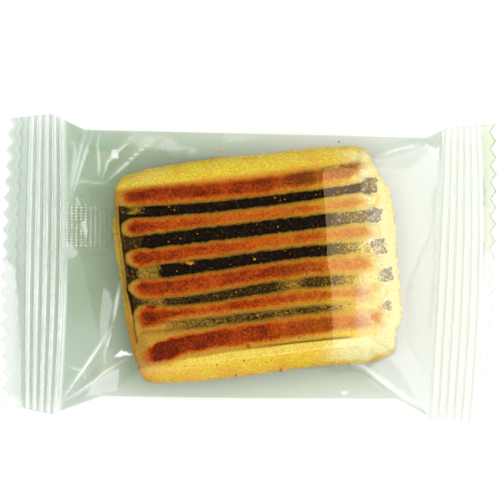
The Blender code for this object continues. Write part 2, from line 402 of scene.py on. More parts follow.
def way_out(x, y, shares, half_length, half_width, corner):
    """Share of the way from a round-cornered rectangle of the bar to the pack's edge."""
    along, across = bar_frame(x, y)
    over = np.hypot(np.maximum(np.abs(along) - half_length + corner, 0),
                    np.maximum(np.abs(across) - half_width + corner, 0))
    outside = np.maximum(over - corner, 0)
    half_tube = (y[:, -1:] - y[:, :1]) / 2
    left_x, _ = line_points(np.array([LEFT_INNER]), shares)
    right_x, _ = line_points(np.array([RIGHT_INNER]), shares)
    inside = np.minimum((1 - np.abs(shares)) * half_tube, np.minimum(x - left_x, right_x - x))
    inside = np.maximum(inside, 0)
    return outside / np.maximum(outside + inside, ROUNDING)


def side_fold_height(lines):
    """Height of the fold where the sheets meet: lowest at the seals, highest mid-way."""
    middle = (lines[:, 0] + lines[:, 1])[:, None] / 2
    middle = middle + 2 / 3 * lines[:, 2, None]
    span = np.clip((middle - LEFT_INNER[0]) / (RIGHT_INNER[0] - LEFT_INNER[0]), 0, 1)
    return SEAL_HEIGHT + (SIDE_FOLD_HEIGHT - SEAL_HEIGHT) * np.sin(np.pi * span)


LOW = side_fold_height(LINES)
WAY_TOP = way_out(SHEET_X, SHEET_Y, SHARES, *TAUT_TOP)
WAY_BASE = way_out(SHEET_X, SHEET_Y, SHARES, *TAUT_BASE)
UPPER_Z = LOW + HALF_SHEET + (FILM_TOP - LOW - HALF_SHEET) * (1 - WAY_TOP ** SLOPE_POWER)
LOWER_Z = FLOOR_GAP + (LOW - HALF_SHEET - FLOOR_GAP) * WAY_BASE ** SLOPE_POWER
print("film from", LOWER_Z.min().round(2), "to", UPPER_Z.max().round(2), "mm high")

# %% [markdown]
# Where the bar gets lower, towards the right, the film leaves the level and
# slopes down. It turns along a sharp line across the bar, and from there on it
# mirrors the soft light that stands on the right: a pale veil over the ridges.

# %% The slope that carries the veil
# The sharp line: x at each of these y, in mm.
VEIL_Y = [-15.0, -8.9, -3.3, 1.8, 6.9, 13.1, 16.0, 19.0]
VEIL_X = [14.8, 14.7, 14.5, 13.6, 13.4, 13.0, 12.8, 12.8]
VEIL_SLOPE = 0.056
past_line = np.maximum(SHEET_X - np.interp(SHEET_Y, VEIL_Y, VEIL_X), 0)
on_bar = 1 - step(WAY_TOP, 0.0, 0.5)
UPPER_Z = UPPER_Z - VEIL_SLOPE * past_line * on_bar
print("slope of the veil", np.degrees(np.arctan(VEIL_SLOPE)).round(1), "degrees")

# %% [markdown]
# ## Creases
#
# Film that is pulled in at its ends folds into creases that run from the corners of the bar to the
# seals. Each is a tent: a height that falls off to both sides of a line of points and fades at its
# ends. Along its top a crease also carries a painted highlight, so the same tents feed the mask of
# haze and highlight.

# %% Creases of the upper sheet
# (points in mm, height, half width, haze and painted highlight)
CREASES = (
    (((-32.6, 23.4), (-30.9, 22.0), (-30.5, 20.2), (-31.8, 11.6)), 0.25, 0.7, 0.35),
    (((-28.9, 24.1), (-31.8, 12.0)), 0.5, 0.55, 0.45),
    (((-27.7, 24.1), (-31.4, 12.0)), 0.5, 0.55, 0.45),
    (((-26.5, 23.9), (-26.7, 21.6), (-26.4, 19.2), (-26.3, 15.0)), 0.3, 0.45, 0.4),
    (((-25.4, 15.0), (-18.4, 21.5), (-14.9, 23.6)), 0.6, 0.4, 0.5),
    (((-26.0, 15.0), (-24.9, 18.8), (-23.2, 20.6), (-20.9, 22.5), (-19.5, 23.9)), 0.4, 0.4, 0.45),
    (((-33.0, 15.9), (-24.2, 14.8)), 0.15, 0.4, 0.3),
    (((-23.9, -9.9), (-33.2, -23.3)), 0.8, 0.45, 0.9),
    (((-24.2, -10.8), (-25.4, -14.7)), 0.3, 0.4, 0.6),
    (((-22.7, -2.4), (-23.9, -9.6)), 0.3, 0.55, 0.5),
    (((-21.2, -15.4), (-25.3, -17.8), (-27.7, -19.9), (-33.0, -23.4)), 0.6, 0.45, 0.55),
    (((-32.6, -16.9), (-29.8, -17.6), (-28.1, -19.8)), 0.3, 0.4, 0.4),
    (((21.4, 18.1), (19.8, 16.0), (19.6, 14.3), (20.7, 11.6)), 0.03, 0.22, 0.3),
    (((21.6, 19.5), (26.0, 21.1), (30.7, 22.1)), 0.5, 0.5, 0.5),
    (((17.7, -16.1), (20.0, -17.1), (22.5, -19.1), (27.2, -22.6), (32.1, -25.4)), 0.8, 0.5, 0.95),
    (((19.4, -17.9), (22.0, -20.0), (25.2, -22.5)), 0.2, 0.3, 0.3),
)


def tent(x, y, points, half_width):
    """1 on a line of points, falling evenly to 0 at half_width beside it, faded at both ends."""
    points = np.array(points)
    runs = np.diff(points, axis=0)
    lengths = np.linalg.norm(runs, axis=1)
    before = np.concatenate([[0], np.cumsum(lengths)])
    best = np.full(x.shape, np.inf)
    place = np.zeros(x.shape)
    for start, run, length, passed in zip(points[:-1], runs, lengths, before):
        share = np.clip(((x - start[0]) * run[0] + (y - start[1]) * run[1]) / length ** 2, 0, 1)
        aside = np.hypot(x - start[0] - share * run[0], y - start[1] - share * run[1])
        place = np.where(aside < best, (passed + share * length) / before[-1], place)
        best = np.minimum(best, aside)
    return np.maximum(1 - best / half_width, 0) * np.sin(np.pi * (0.1 + 0.8 * place))


relief = np.zeros(SHEET_X.shape)
crease_highlight = np.zeros(SHEET_X.shape)
for points, height, half_width, haze_and_highlight in CREASES:
    ridge = tent(SHEET_X, SHEET_Y, points, half_width)
    relief = np.maximum(relief, height * ridge)
    crease_highlight = np.maximum(crease_highlight, haze_and_highlight * np.minimum(1.5 * ridge ** 2, 1))
print(len(CREASES), "creases, up to", relief.max().round(2), "mm high")

# %% [markdown]
# Small facets between creases carry painted highlights, flat bright patches. Each is a polygon in
# plan. A point's distance inside the polygon is its distance to the nearest edge, which gives the
# patch a soft border a tenth of a millimetre wide to each side. Two painted sheens over the right
# end are broad and have softer borders, and three patches over the paste carry tiny painted glints.

# %% Tables of the bright facets
# (corners in mm, haze and painted highlight)
FACETS = (
    (((-21.6, 23.6), (-20.7, 22.2), (-18.6, 21.5), (-17.5, 20.9), (-16.3, 21.3), (-13.5, 20.6),
      (-10.7, 21.1), (-12.6, 22.0), (-14.4, 23.4)), 0.16),
    (((-10.7, 21.3), (-9.3, 21.3), (-9.3, 19.9), (-10.4, 20.3)), 0.2),
    (((-4.4, 23.6), (0.0, 23.6), (1.0, 22.7), (-4.4, 22.3)), 0.12),
    (((-24.2, 20.9), (-23.2, 21.1), (-23.0, 19.4), (-24.4, 19.5)), 0.55),
    (((-25.6, -3.1), (-24.6, -4.0), (-23.9, -6.1), (-24.6, -9.0), (-25.1, -14.1), (-25.3, -16.9),
      (-26.3, -10.6), (-26.0, -6.0)), 0.22),
    (((-23.9, -15.4), (-22.5, -14.1), (-20.5, -14.8)), 0.85),
    (((-25.1, -18.2), (-22.8, -17.3), (-23.2, -21.3), (-28.9, -22.4), (-27.6, -20.0)), 0.3),
    (((30.8, 22.1), (32.5, 21.1), (33.3, 21.5), (33.0, 19.2)), 0.6),
    (((16.1, -21.4), (17.0, -21.4), (16.8, -21.8), (16.2, -21.8)), 0.8),
    (((14.2, -12.4), (17.7, -16.1), (20.2, -13.3), (19.0, -12.0)), 0.07),
    (((19.3, 18.6), (20.9, 19.6), (22.6, 17.6), (21.2, 15.8), (19.9, 16.6)), 0.06),
    (((-29.6, 8.4), (-28.9, 8.7), (-28.4, 6.9), (-28.6, 5.4), (-29.2, 6.6)), 0.42),
    (((-30.7, 12.4), (-30.2, 12.6), (-29.6, 11.2), (-30.1, 11.2)), 0.35),
    (((-32.2, 5.0), (-31.4, 4.6), (-30.0, 2.8), (-31.0, 2.0), (-32.3, 2.0)), 0.3),
    (((-43.3, -22.0), (-41.9, -22.3), (-40.2, -23.6), (-40.4, -24.2), (-43.2, -24.0)), 0.5),
)
# Painted glints over the paste: (corners in mm, haze and painted highlight)
GLINTS = (
    (((20.0, 4.9), (21.6, 5.6), (23.2, 4.6), (22.6, 2.9), (20.8, 3.2)), 0.6),
    (((20.6, 11.2), (22.2, 11.0), (22.0, 8.4), (21.0, 8.8)), 0.35),
    (((15.2, 9.9), (18.6, 10.2), (18.8, 8.4), (15.4, 8.0)), 0.22),
)


def inside_polygon(x, y, corners, soft=0.12):
    """1 inside a polygon and 0 outside, with a smooth border soft mm to each side."""
    corners = np.array(corners)
    following = np.roll(corners, -1, axis=0)
    inside = np.zeros(x.shape, bool)
    nearest = np.full(x.shape, np.inf)
    for (x0, y0), (x1, y1) in zip(corners, following):
        crosses = (y0 > y) != (y1 > y)
        at_x = x0 + (y - y0) * (x1 - x0) / (y1 - y0 + (y1 == y0))
        inside ^= crosses & (x < at_x)
        share = np.clip(((x - x0) * (x1 - x0) + (y - y0) * (y1 - y0))
                        / ((x1 - x0) ** 2 + (y1 - y0) ** 2), 0, 1)
        nearest = np.minimum(nearest, np.hypot(x - x0 - share * (x1 - x0),
                                               y - y0 - share * (y1 - y0)))
    return step(np.where(inside, nearest, -nearest), -soft, soft)


# %% Painted highlights of the facets
# (corners in mm, haze and painted highlight, width of the border) of two painted sheens
SHEENS = (
    (((18.8, -2.5), (19.7, -0.6), (20.7, -0.6), (21.4, -4.0), (21.2, -11.5), (20.7, -16.4),
      (19.2, -15.6), (18.6, -8.0)), 0.14, 1.0),
    (((21.0, 9.0), (23.0, 12.0), (26.5, 6.0), (27.0, -4.0), (26.6, -13.0), (23.5, -17.0),
      (21.8, -12.0), (21.6, 0.0)), 0.09, 1.2),
)
facet_highlight = np.zeros(SHEET_X.shape)
for corners, haze_and_highlight, soft in SHEENS:
    facet_highlight = np.maximum(facet_highlight, haze_and_highlight * inside_polygon(SHEET_X, SHEET_Y, corners, soft))
for corners, haze_and_highlight in FACETS:
    facet_highlight = np.maximum(facet_highlight, haze_and_highlight * inside_polygon(SHEET_X, SHEET_Y, corners))
glint_spots = step(soft_noise(SHEET_X, SHEET_Y, 0.34, 77), 0.3, 0.6)
for corners, haze_and_highlight in GLINTS:
    glint = haze_and_highlight * glint_spots * inside_polygon(SHEET_X, SHEET_Y, corners, 0.3)
    facet_highlight = np.maximum(facet_highlight, glint)
print(len(FACETS), "facets,", len(SHEENS), "sheens,", len(GLINTS), "patches of glints")

# %% [markdown]
# ## Crimped end seals
#
# Heated jaws press both sheets together into ribs. Each rib is a low rise with a rounded top. Its
# bends carry painted highlights, so every rib shows as a pair of pale lines from above. The cut end
# beyond the ribs is a zigzag.

# %% Ribs, teeth and the sheets' final heights
RIB_HEIGHT = 0.2


def crimp(place, ribs):
    """Rise and painted highlight of a crimp band at places from 0 to 1 across it."""
    in_band = (place > -ROUNDING) & (place < 1 - ROUNDING)
    phase = np.mod(np.where(in_band, place, 0) * ribs, 1.0)
    rise = step(phase, 0.25, 0.35) * (1 - step(phase, 0.64, 0.74))
    bend = bell(phase, 0.3, 0.05) + 0.45 * bell(phase, 0.69, 0.05)
    return rise * in_band, bend * in_band


left_rise, left_bend = crimp(LEFT_PLACE, RIBS_LEFT)
right_rise, right_bend = crimp(RIGHT_PLACE, RIBS_RIGHT)
in_left = LEFT_PLACE < 1 - ROUNDING
in_right = RIGHT_PLACE < 1 - ROUNDING
seal_place = np.where(in_left, LEFT_PLACE, RIGHT_PLACE)
seal_middle = TIP_HEIGHT + (SEAL_HEIGHT - TIP_HEIGHT) * np.clip(seal_place, 0, 1)
seal_middle = seal_middle + RIB_HEIGHT * (left_rise + right_rise)
ripple = 0.12 * soft_noise(SHEET_X, SHEET_Y, 6.0, 5) + 0.05 * soft_noise(SHEET_X, SHEET_Y, 2.2, 6)
seal_z = seal_middle + ripple * np.where(RIGHT_PLACE < 0, 0.1, 0.5)
off_bar = step(WAY_TOP, 0.03, 0.3) * (1 - step(WAY_TOP, 0.85, 1.0))
upper_z = UPPER_Z + relief * step(WAY_TOP, -0.1, 0.02) * (1 - step(WAY_TOP, 0.93, 1.0))
upper_z = upper_z + 1.2 * ripple * off_bar
is_seal = in_left | in_right
upper_z = np.where(is_seal, seal_z + HALF_SHEET, upper_z)
lower_z = np.where(is_seal, seal_z - HALF_SHEET, LOWER_Z)
upper_z = np.maximum(upper_z, lower_z + 2 * HALF_SHEET)


def zigzag(shares):
    """How far the cut end moves in: TOOTH_DEPTH at each notch, 0 at each tip."""
    return TOOTH_DEPTH * (1 - np.abs(np.mod((shares + 1) * TEETH / 2, 1.0) * 2 - 1))


def tip_share(lines, outer, tip):
    """1 at the tip line, 0 from the crimp on: how much of the zigzag each line follows."""
    return np.clip((lines[:, 0] - outer[0]) / (tip[0] - outer[0]), 0, 1)[:, None]


ZIGZAG = tip_share(LINES, LEFT_OUTER, LEFT_TIP) - tip_share(LINES, RIGHT_OUTER, RIGHT_TIP)
sheet_x = SHEET_X + ZIGZAG * zigzag(SHARES)
print(RIBS_LEFT, "and", RIBS_RIGHT, "ribs,", TEETH, "teeth at each end")

# %% [markdown]
# ## The bar's outline
#
# The film's colours depend on where the bar is below it, so the bar's outline
# comes first. Each of its four sides is a line of a few points, and the
# corners between them are round.

# %% The bar's outline
# The dough lies at its own angle, a little more turned than the flat of the film over it.
DOUGH_TURN = np.radians(7.6)
# (across, along) or (along, across) in mm on the bar, side by side round it.
LEFT_SIDE = np.array([(-16.9, -22.9), (-15.1, -23.3), (-12.8, -23.75), (-8.4, -24.1), (-1.2, -24.2),
                      (2.6, -24.2), (6.1, -24.5), (10.2, -24.2), (11.9, -23.75), (16.2, -23.1),
                      (17.7, -22.8)])
RIGHT_SIDE = np.array([(-17.4, 22.4), (-14.3, 22.8), (-13.2, 23.7), (-12.0, 24.2), (-7.4, 24.3),
                       (0.7, 24.75), (4.2, 25.05), (8.1, 25.05), (10.6, 24.6), (13.6, 23.4),
                       (15.6, 22.7), (17.5, 21.9)])
TOP_SIDE = np.array([(-21.3, 19.1), (-18.9, 19.4), (-11.8, 19.7), (-3.3, 19.85), (3.9, 19.4),
                     (9.1, 19.5), (19.6, 19.0), (21.0, 18.9)])
BOTTOM_SIDE = np.array([(-20.7, -18.1), (-16.8, -18.5), (-13.2, -18.75), (-5.6, -18.8),
                        (0.4, -18.8), (8.6, -18.8), (14.6, -19.1), (18.7, -19.4), (20.9, -19.0)])
CORNER_RADIUS = 2.0


def beside_bar(x, y):
    """How far plan points lie outside the bar's outline in mm, less than 0 inside it."""
    along, across = bar_frame(x, y, DOUGH_TURN)
    left, right = (np.interp(across, *side.T) for side in (LEFT_SIDE, RIGHT_SIDE))
    low, high = (np.interp(along, *side.T) for side in (BOTTOM_SIDE, TOP_SIDE))
    past_end = np.maximum(left - along, along - right) + CORNER_RADIUS
    past_side = np.maximum(low - across, across - high) + CORNER_RADIUS
    return (np.hypot(np.maximum(past_end, 0), np.maximum(past_side, 0))
            + np.minimum(np.maximum(past_end, past_side), 0) - CORNER_RADIUS)


# %% [markdown]
# ## Milky film and painted highlights
#
# This mask takes the painted highlights along the crimp's bends and over the flat margins beyond
# it, and the milky white and painted highlights of the creases and facets above. Noise makes some
# stretches of the left ribs whiter than others: painted glints.

# %% Haze and painted highlights of the sheet
CUT_EDGE_WIDTH = 0.6
LEFT_MARGIN_WHITE = ((-42.8, 1.6), (-41.4, -0.5), (-40.9, -5.4), (-40.6, -12.4), (-40.4, -19.4),
                     (-40.4, -23.2), (-46.0, -23.2), (-46.0, 1.6))
lower_half = 1 - step(SHEET_Y, -6.0, 4.0)
# Painted glints: noise makes some stretches of the left ribs whiter than others.
glints = 1 + 0.55 * soft_noise(SHEET_X * 3, SHEET_Y, 0.7, 8) * step(-SHEET_Y, -14.5, -13.5)
glints = glints * (1 + 0.35 * soft_noise(SHEET_X * 2, SHEET_Y, 6.0, 9))
# Painted highlights along the bends and bands of the ribs, a line at the inner edge of the left
# crimp, and even painted light over the right seal.
crimp_haze_and_highlight = left_bend * 0.85 + left_rise * (0.03 + 0.16 * lower_half)
crimp_haze_and_highlight = crimp_haze_and_highlight + right_bend * 0.3 + 0.28 * (in_right & (RIGHT_PLACE >= 0))
left_line = bell(LEFT_PLACE, 1.0, 0.03) * (0.35 + 0.35 * lower_half)
# Painted highlight on the curled lower part of the left margin.
left_margin = 0.3 * inside_polygon(SHEET_X, SHEET_Y, LEFT_MARGIN_WHITE, 0.2)
left_margin = left_margin * (LEFT_PLACE < 0)
cut_edge = np.clip(1 - (RIGHT_TIP[0] - LINES[:, 0]) / CUT_EDGE_WIDTH, 0, 1)[:, None]
right_margin = (RIGHT_PLACE < 0) * 0.32 * (1 - step(SHEET_Y, 1.5, 5.0)) * (1 - cut_edge)
glints = np.where(in_left, glints, 1.0)
haze_and_highlight = (crimp_haze_and_highlight + left_line) * glints + left_margin + right_margin
haze_and_highlight = np.maximum(haze_and_highlight, np.maximum(crease_highlight, facet_highlight))
print("haze up to", haze_and_highlight.max().round(2))

# %% [markdown]
# Beside the bar the lower sheet carries painted shade: the bar's shadow on the table, grey green
# through the film. It is strongest at the left and fades to the right. At the right end of the pack
# it gives way to a white bloom of painted light, and both sheets carry that. The bends of the seals
# and the cut edge at the right get thin green lines of painted shade.

# %% Painted green shade beside the bar and painted bloom at the right
BLOOM = 0.4
beside = beside_bar(SHEET_X, SHEET_Y)
low_left = step(-SHEET_Y, 3, 14) * (1 - step(SHEET_X, -26, -18))
# Painted shade: the bar's shadow beside it, the upper right margin, the bends of the seals and the
# cut edge.
shade = 0.37 * step(beside, -1.4, -0.8) * (1 - 0.55 * low_left)
shade = shade * (0.94 - 0.62 * step(SHEET_X, -16, 26)) * (1 - is_seal)
rib_place = np.mod(np.where(in_left, LEFT_PLACE * RIBS_LEFT, RIGHT_PLACE * RIBS_RIGHT), 1.0)
shade = shade + 0.14 * (RIGHT_PLACE < 0) * step(SHEET_Y, 1.5, 5.0)
shade = shade + 0.3 * (is_seal & in_left) * bell(rib_place, 0.1, 0.07)
thin_lines = sum(bell(rib_place, phase, 0.04) for phase in (0.1, 0.42, 0.8))
shade = shade + 0.2 * (in_right & (RIGHT_PLACE >= 0)) * thin_lines + 0.5 * cut_edge
RIGHT_FILM = ((21.0, 19.4), (25.8, 20.2), (30.9, 22.0), (33.3, 19.5), (33.3, 11.0), (32.0, -5.4),
              (31.8, -25.4), (28.4, -23.3), (24.9, -20.8), (20.7, -17.3), (23.7, -15.0),
              (25.0, -10.0), (25.5, 0.0), (24.5, 8.0), (22.7, 14.0), (21.4, 17.5))
# Painted light: a white bloom over the film at the right end, on both sheets.
bloom = BLOOM * inside_polygon(SHEET_X, SHEET_Y, RIGHT_FILM, 0.5) * (1 - is_seal)
shade = shade * (1 - bloom / BLOOM)
haze_and_highlight = np.clip(haze_and_highlight, 0, 0.95)
haze_and_highlight = np.maximum(haze_and_highlight, 0.65 * bloom * step(beside, -0.5, -0.1))
haze_and_highlight_lower = np.where(is_seal, haze_and_highlight, 0.6 * bloom)
shade_upper, shade_lower = shade * is_seal, shade * ~is_seal

# Film that lies on the buttery crust of the flanks loses its mirror there.
sheet_along, sheet_across = bar_frame(SHEET_X, SHEET_Y)
contact = 0.85 * step(np.abs(sheet_across), 15.7, 16.5) * (1 - step(beside, -0.6, 0.0))
contact = contact * (1 - step(sheet_along - 3 * (sheet_across > 0), 14.0, 20.0))
print("shade up to", shade.max().round(2), "and bloom up to", bloom.max().round(2))

# %% [markdown]
# The knurled strip of the fin seal runs behind the pack from end to end. Its glints are painted on
# the upper sheet as rows of white dots, at the left of the bar and faintly in the flat margins.

# %% Painted glints of the knurled seal behind
in_knurl = step(SHEET_Y, 3.7, 4.1) * (1 - step(SHEET_Y, 11.3, 11.7))
beside_left = (1 - step(SHEET_X, -30.0, -24.5)) * (1 - is_seal)
knurl_glints = in_knurl * (1.5 * beside_left + 0.3 * (LEFT_PLACE < 0) + 0.4 * (RIGHT_PLACE < 0))
knurl_glints = knurl_glints * np.clip(0.75 + 0.6 * soft_noise(SHEET_X, SHEET_Y, 0.8, 10), 0, 1)
print("knurl up to", knurl_glints.max().round(2))

# %% [markdown]
# The two sheets are joined by a wall at their borders, which closes the bag.
# Each mask has a value for every point, first of the upper sheet and then of
# the lower one.

# %% Join the two sheets to a bag
film_points = grid_points(sheet_x, SHEET_Y, upper_z, lower_z)
film_points[:, :2] += PLAN_SHIFT
nothing = np.zeros(shade.shape)
film_masks = {name: np.concatenate([upper.ravel(), lower.ravel()]) for name, upper, lower in (
    ("haze_and_highlight", haze_and_highlight, haze_and_highlight_lower), ("shade", shade_upper, shade_lower), ("knurl_glints", knurl_glints, nothing),
    ("contact", contact, nothing))}
film = make_piece("film_bag", film_points, closed_skin(*sheet_x.shape), PACK_FILM, film_masks)

# %% [markdown]
# ## The fin seal at the back
#
# A flow-wrap tube is closed along its back by two edges of film pressed
# together. The seal stands out as a fin and is folded flat under the pack.
# A knurled wheel presses it, which leaves a strip of fine bars across it.

# %% Fin seal
# Where the fin and its knurled strip start and end, from 0 in the pack's middle to 1 at
# its upper edge.
FIN_SHARES = (0.05, 0.57)
KNURL_SHARES = (0.114, 0.403)
KNURL_HEIGHT = 0.05
FIN_GAP, FIN_THICKNESS = 0.03, 0.04
fin_shares = np.unique(np.concatenate([np.linspace(*FIN_SHARES, 28),
                                       np.arange(-TEETH, TEETH) / TEETH, KNURL_SHARES]))
fin_shares = fin_shares[(fin_shares >= FIN_SHARES[0]) & (fin_shares <= FIN_SHARES[1])]
fin_x, fin_y = line_points(LINES, fin_shares)
fin_x = fin_x + ZIGZAG * zigzag(fin_shares)
row_at = np.interp(fin_shares, SHARES, np.arange(len(SHARES)))
row_low = row_at.astype(int)
row_part = row_at - row_low
fin_lower = lower_z[:, row_low] * (1 - row_part) + lower_z[:, row_low + 1] * row_part
knurled = (fin_shares > KNURL_SHARES[0] - ROUNDING) & (fin_shares < KNURL_SHARES[1] - ROUNDING)
wave = 0.5 + 0.5 * np.cos(2 * np.pi * (fin_x - KNURL_START) / KNURL_PITCH)
between_seals = ~is_seal
rise = KNURL_HEIGHT * wave * knurled * between_seals
fin_top = fin_lower - FIN_GAP
fin_bottom = fin_top - FIN_THICKNESS - rise * 0.6
fin_points = grid_points(fin_x, fin_y, fin_top, fin_bottom)
fin_points[:, 2] = np.maximum(fin_points[:, 2], 0.0)
fin_points[:, :2] += PLAN_SHIFT
fin_haze = (step(wave, 0.5, 0.85) * knurled * between_seals * 0.12).ravel()
fin = make_piece("fin_seal", fin_points, closed_skin(*fin_x.shape), FIN_FILM,
                 {"haze_and_highlight": np.concatenate([fin_haze, fin_haze])})

# %% [markdown]
# ## The baked bar: its plan
#
# The bar is semolina dough, pressed in a mould and baked: a rounded rectangle
# about 48 by 38 mm that lies a little askew in its pack. A square grid makes
# an even mesh, and one formula bends it to the bar: each point of the square
# is first pulled onto a rounded square, then stretched between the bar's own
# left and right, lower and upper edges, which were measured.

# %% Bend a square grid to the bar's outline
HALF_LENGTH, HALF_WIDTH, CORNER_POWER = 24.3, 19.0, 17.0


def bar_plan(a, b):
    """Along and across positions on the bar of points a, b of the square from -1 to 1."""
    largest = np.maximum(np.maximum(np.abs(a), np.abs(b)), 1e-9)
    size = largest * ((np.abs(a) / largest) ** CORNER_POWER
                      + (np.abs(b) / largest) ** CORNER_POWER) ** (1 / CORNER_POWER)
    p, q = a * largest / size, b * largest / size
    left, right = (np.interp(q * HALF_WIDTH, *side.T) for side in (LEFT_SIDE, RIGHT_SIDE))
    low, high = (np.interp(p * HALF_LENGTH, *side.T) for side in (BOTTOM_SIDE, TOP_SIDE))
    return left + (right - left) * (p + 1) / 2, low + (high - low) * (q + 1) / 2


def closer_at_edges(count):
    """Places from -1 to 1 that crowd together towards both ends, by a sine."""
    return np.sin(np.linspace(-1.0, 1.0, count)) / np.sin(1.0)


# A and B are places on the square, U and V the same points on the bar, along and across
# it in mm.
POINTS_ALONG, POINTS_ACROSS = 282, 226
A, B = np.meshgrid(closer_at_edges(POINTS_ALONG), closer_at_edges(POINTS_ACROSS), indexing="ij")
U, V = bar_plan(A, B)
ragged = step(np.maximum(np.abs(A), np.abs(B)), 0.93, 1.0)
U = U + ragged * 0.2 * soft_noise(V + 50, U, 0.45, 11) * np.sign(A) * (np.abs(A) > np.abs(B))
V = V + ragged * 0.14 * soft_noise(U + 50, V, 0.6, 12) * np.sign(B) * (np.abs(B) >= np.abs(A))
print("bar", np.round([np.ptp(U), np.ptp(V)], 1), "mm")

# %% [markdown]
# ## Slits and ridges
#
# Five slits run along the bar and open onto the date paste; a sixth is only a
# thin crack. The dough between two slits rises as a rounded ridge. Each slit
# is described by the curve of its middle and by stations along it, which say
# how wide it is and how much dough still covers the paste there.

# %% The slits' tables
def smooth_line(points, degree):
    """Powers of u, from the constant up, of the smooth line that fits (u, v) points best."""
    u, v = np.array(points).T
    return np.polynomial.polynomial.polyfit(u, v, degree)


def line_at(powers, u):
    """v of a smooth line at each u."""
    return np.polynomial.polynomial.polyval(u, powers)


# u lies along the bar and v across it, in mm. Each slit has measured points (u, v) of its
# middle, the degree of the smooth line through them, and stations (u, half width in mm,
# cover from 0, open, to 1, closed by dough).
SLITS = (
    (((-22, 12.27), (-12, 11.57), (0, 11.11), (12, 11.07), (22, 11.36)), 2,
     ((-22.8, 0.2, 0.5), (-22.4, 0.9, 0.2), (-21.2, 0.8, 0.15), (-20.8, 0.75, 0.5),
      (-20.4, 0.8, 0.88), (-19.4, 0.85, 0.8), (-18.8, 0.82, 0.4), (-17.8, 0.85, 0.08),
      (-12, 0.78, 0.0), (0, 0.73, 0.0), (12, 0.7, 0.0), (16, 0.72, 0.06), (19.7, 0.75, 0.13),
      (20.6, 1.3, 0.2), (22.2, 1.35, 0.3), (22.9, 0.7, 0.6), (23.1, 0.1, 1.2))),
    (((-22, 6.9), (-14, 6.75), (-4, 6.58), (8, 6.42), (16, 6.35), (22.3, 6.15)), 3,
     ((-23.0, 0.2, 0.5), (-22.4, 0.8, 0.2), (-20.5, 0.95, 0.24), (-19.0, 1.0, 0.15),
      (-17, 1.1, 0.0), (0, 1.1, 0.0), (12, 1.05, 0.04), (14.5, 1.05, 0.2), (16.5, 1.0, 0.27),
      (19.5, 1.0, 0.27), (20.7, 1.15, 0.25), (21.8, 1.2, 0.3), (22.9, 0.95, 0.5),
      (23.3, 0.1, 1.2))),
    (((-22, 1.6), (-12, 1.3), (0, 1.46), (8, 1.36), (15, 1.12), (22, 0.6)), 4,
     ((-23.2, 0.2, 0.5), (-22.8, 0.9, 0.15), (-21.6, 0.8, 0.2), (-20.9, 0.7, 0.88),
      (-17.2, 0.95, 0.86), (-16.3, 1.05, 0.1), (-8, 0.96, 0.12), (6, 0.9, 0.14),
      (12.5, 0.92, 0.16), (15.0, 0.92, 0.25), (16.6, 0.9, 0.42),
      (18.2, 0.9, 0.72), (20.2, 1.1, 0.7), (21.0, 1.4, 0.45), (22.6, 1.4, 0.42), (23.2, 0.1, 1.2))),
    (((-22.5, -3.3), (-19.4, -3.6), (-14, -4.25), (-12, -4.4), (-4, -4.05), (0, -3.98),
      (8, -4.05), (15, -4.33), (22.6, -4.45)), 5,
     ((-22.6, 0.6, 0.2), (-21.6, 0.3, 0.3), (-19.4, 0.2, 0.7), (-18.0, 0.2, 0.9), (-17.2, 0.5, 0.5),
      (-16.4, 0.5, 0.28), (-12.5, 0.55, 0.2), (-9, 0.65, 0.22), (2.6, 0.76, 0.2), (4.4, 0.6, 0.7),
      (5.6, 0.45, 0.9), (7.0, 0.6, 0.7), (8.2, 0.76, 0.28), (13.8, 0.74, 0.35), (16.0, 0.7, 0.55),
      (19.0, 0.6, 1.0), (20.3, 0.7, 1.0), (21.6, 1.1, 0.45), (23.2, 1.2, 0.32), (23.6, 0.1, 1.2))),
    (((-20, -8.14), (-10, -8.54), (0, -8.63), (10, -8.83), (20, -9.56)), 3,
     ((-22, 0.2, 1.3), (-19.0, 0.3, 1.25), (-14.0, 0.5, 0.8), (-9.6, 0.5, 0.6), (-8.4, 0.52, 0.48),
      (-2, 0.5, 0.4), (0.8, 0.45, 0.45), (2.2, 0.35, 0.7), (3.6, 0.42, 0.5), (9, 0.4, 0.4),
      (11.5, 0.4, 0.55), (15.5, 0.4, 0.8), (17.5, 0.35, 1.1), (20.8, 0.35, 1.1), (21.4, 0.8, 0.4),
      (22.2, 0.8, 0.4), (22.6, 0.1, 1.2))),
)
CRACK = smooth_line(((-15, -14.41), (0, -14.04), (15, -14.43)), 2)
TOP_SHOULDER = smooth_line(((-20, 14.78), (0, 14.1), (20, 14.38)), 2)
CRACK_ENDS = (-14.7, 15.9)
print(len(SLITS), "slits and a crack from", CRACK_ENDS[0], "to", CRACK_ENDS[1], "mm")

# %% Which slit each point is nearest to, and how wide and how covered it is there
MIDDLE_LINES = [smooth_line(points, degree) for points, degree, _ in SLITS]
MIDDLES = np.stack([line_at(line, U) for line in MIDDLE_LINES])
STATIONS = [np.array(stations).T for _, _, stations in SLITS]
WIDTHS = np.stack([np.interp(U, at, widths) for at, widths, _ in STATIONS])
blotchy = U + 0.55 * soft_noise(U, V, 0.9, 23) + 0.3 * soft_noise(U, V, 0.4, 24)
COVERS = np.stack([np.interp(blotchy, at, covers) for at, _, covers in STATIONS])
frayed = 0.08 * soft_noise(U, V, 1.7, 21) + 0.12 * soft_noise(U, V, 0.42, 22)
nearest = np.abs(V - MIDDLES).argmin(axis=0)[None]
aside = np.take_along_axis(V - MIDDLES, nearest, 0)[0]
slit_width = np.take_along_axis(WIDTHS, nearest, 0)[0] * (1 + frayed)
cover = np.take_along_axis(COVERS, nearest, 0)[0]
low_in_slit = (1 - step(aside, -0.5, 0.0)) * (nearest[0] == 0) * (1 - step(U, -17.5, -16.5))
cover = cover * (1 - low_in_slit) + 0.12 * low_in_slit
print("slits up to", (2 * slit_width.max()).round(1), "mm wide")

# %% [markdown]
# At both ends the ridges stop short of the bar's edge: at the left in a crevice
# behind a thin lip of dough, at the right in a low round shoulder.

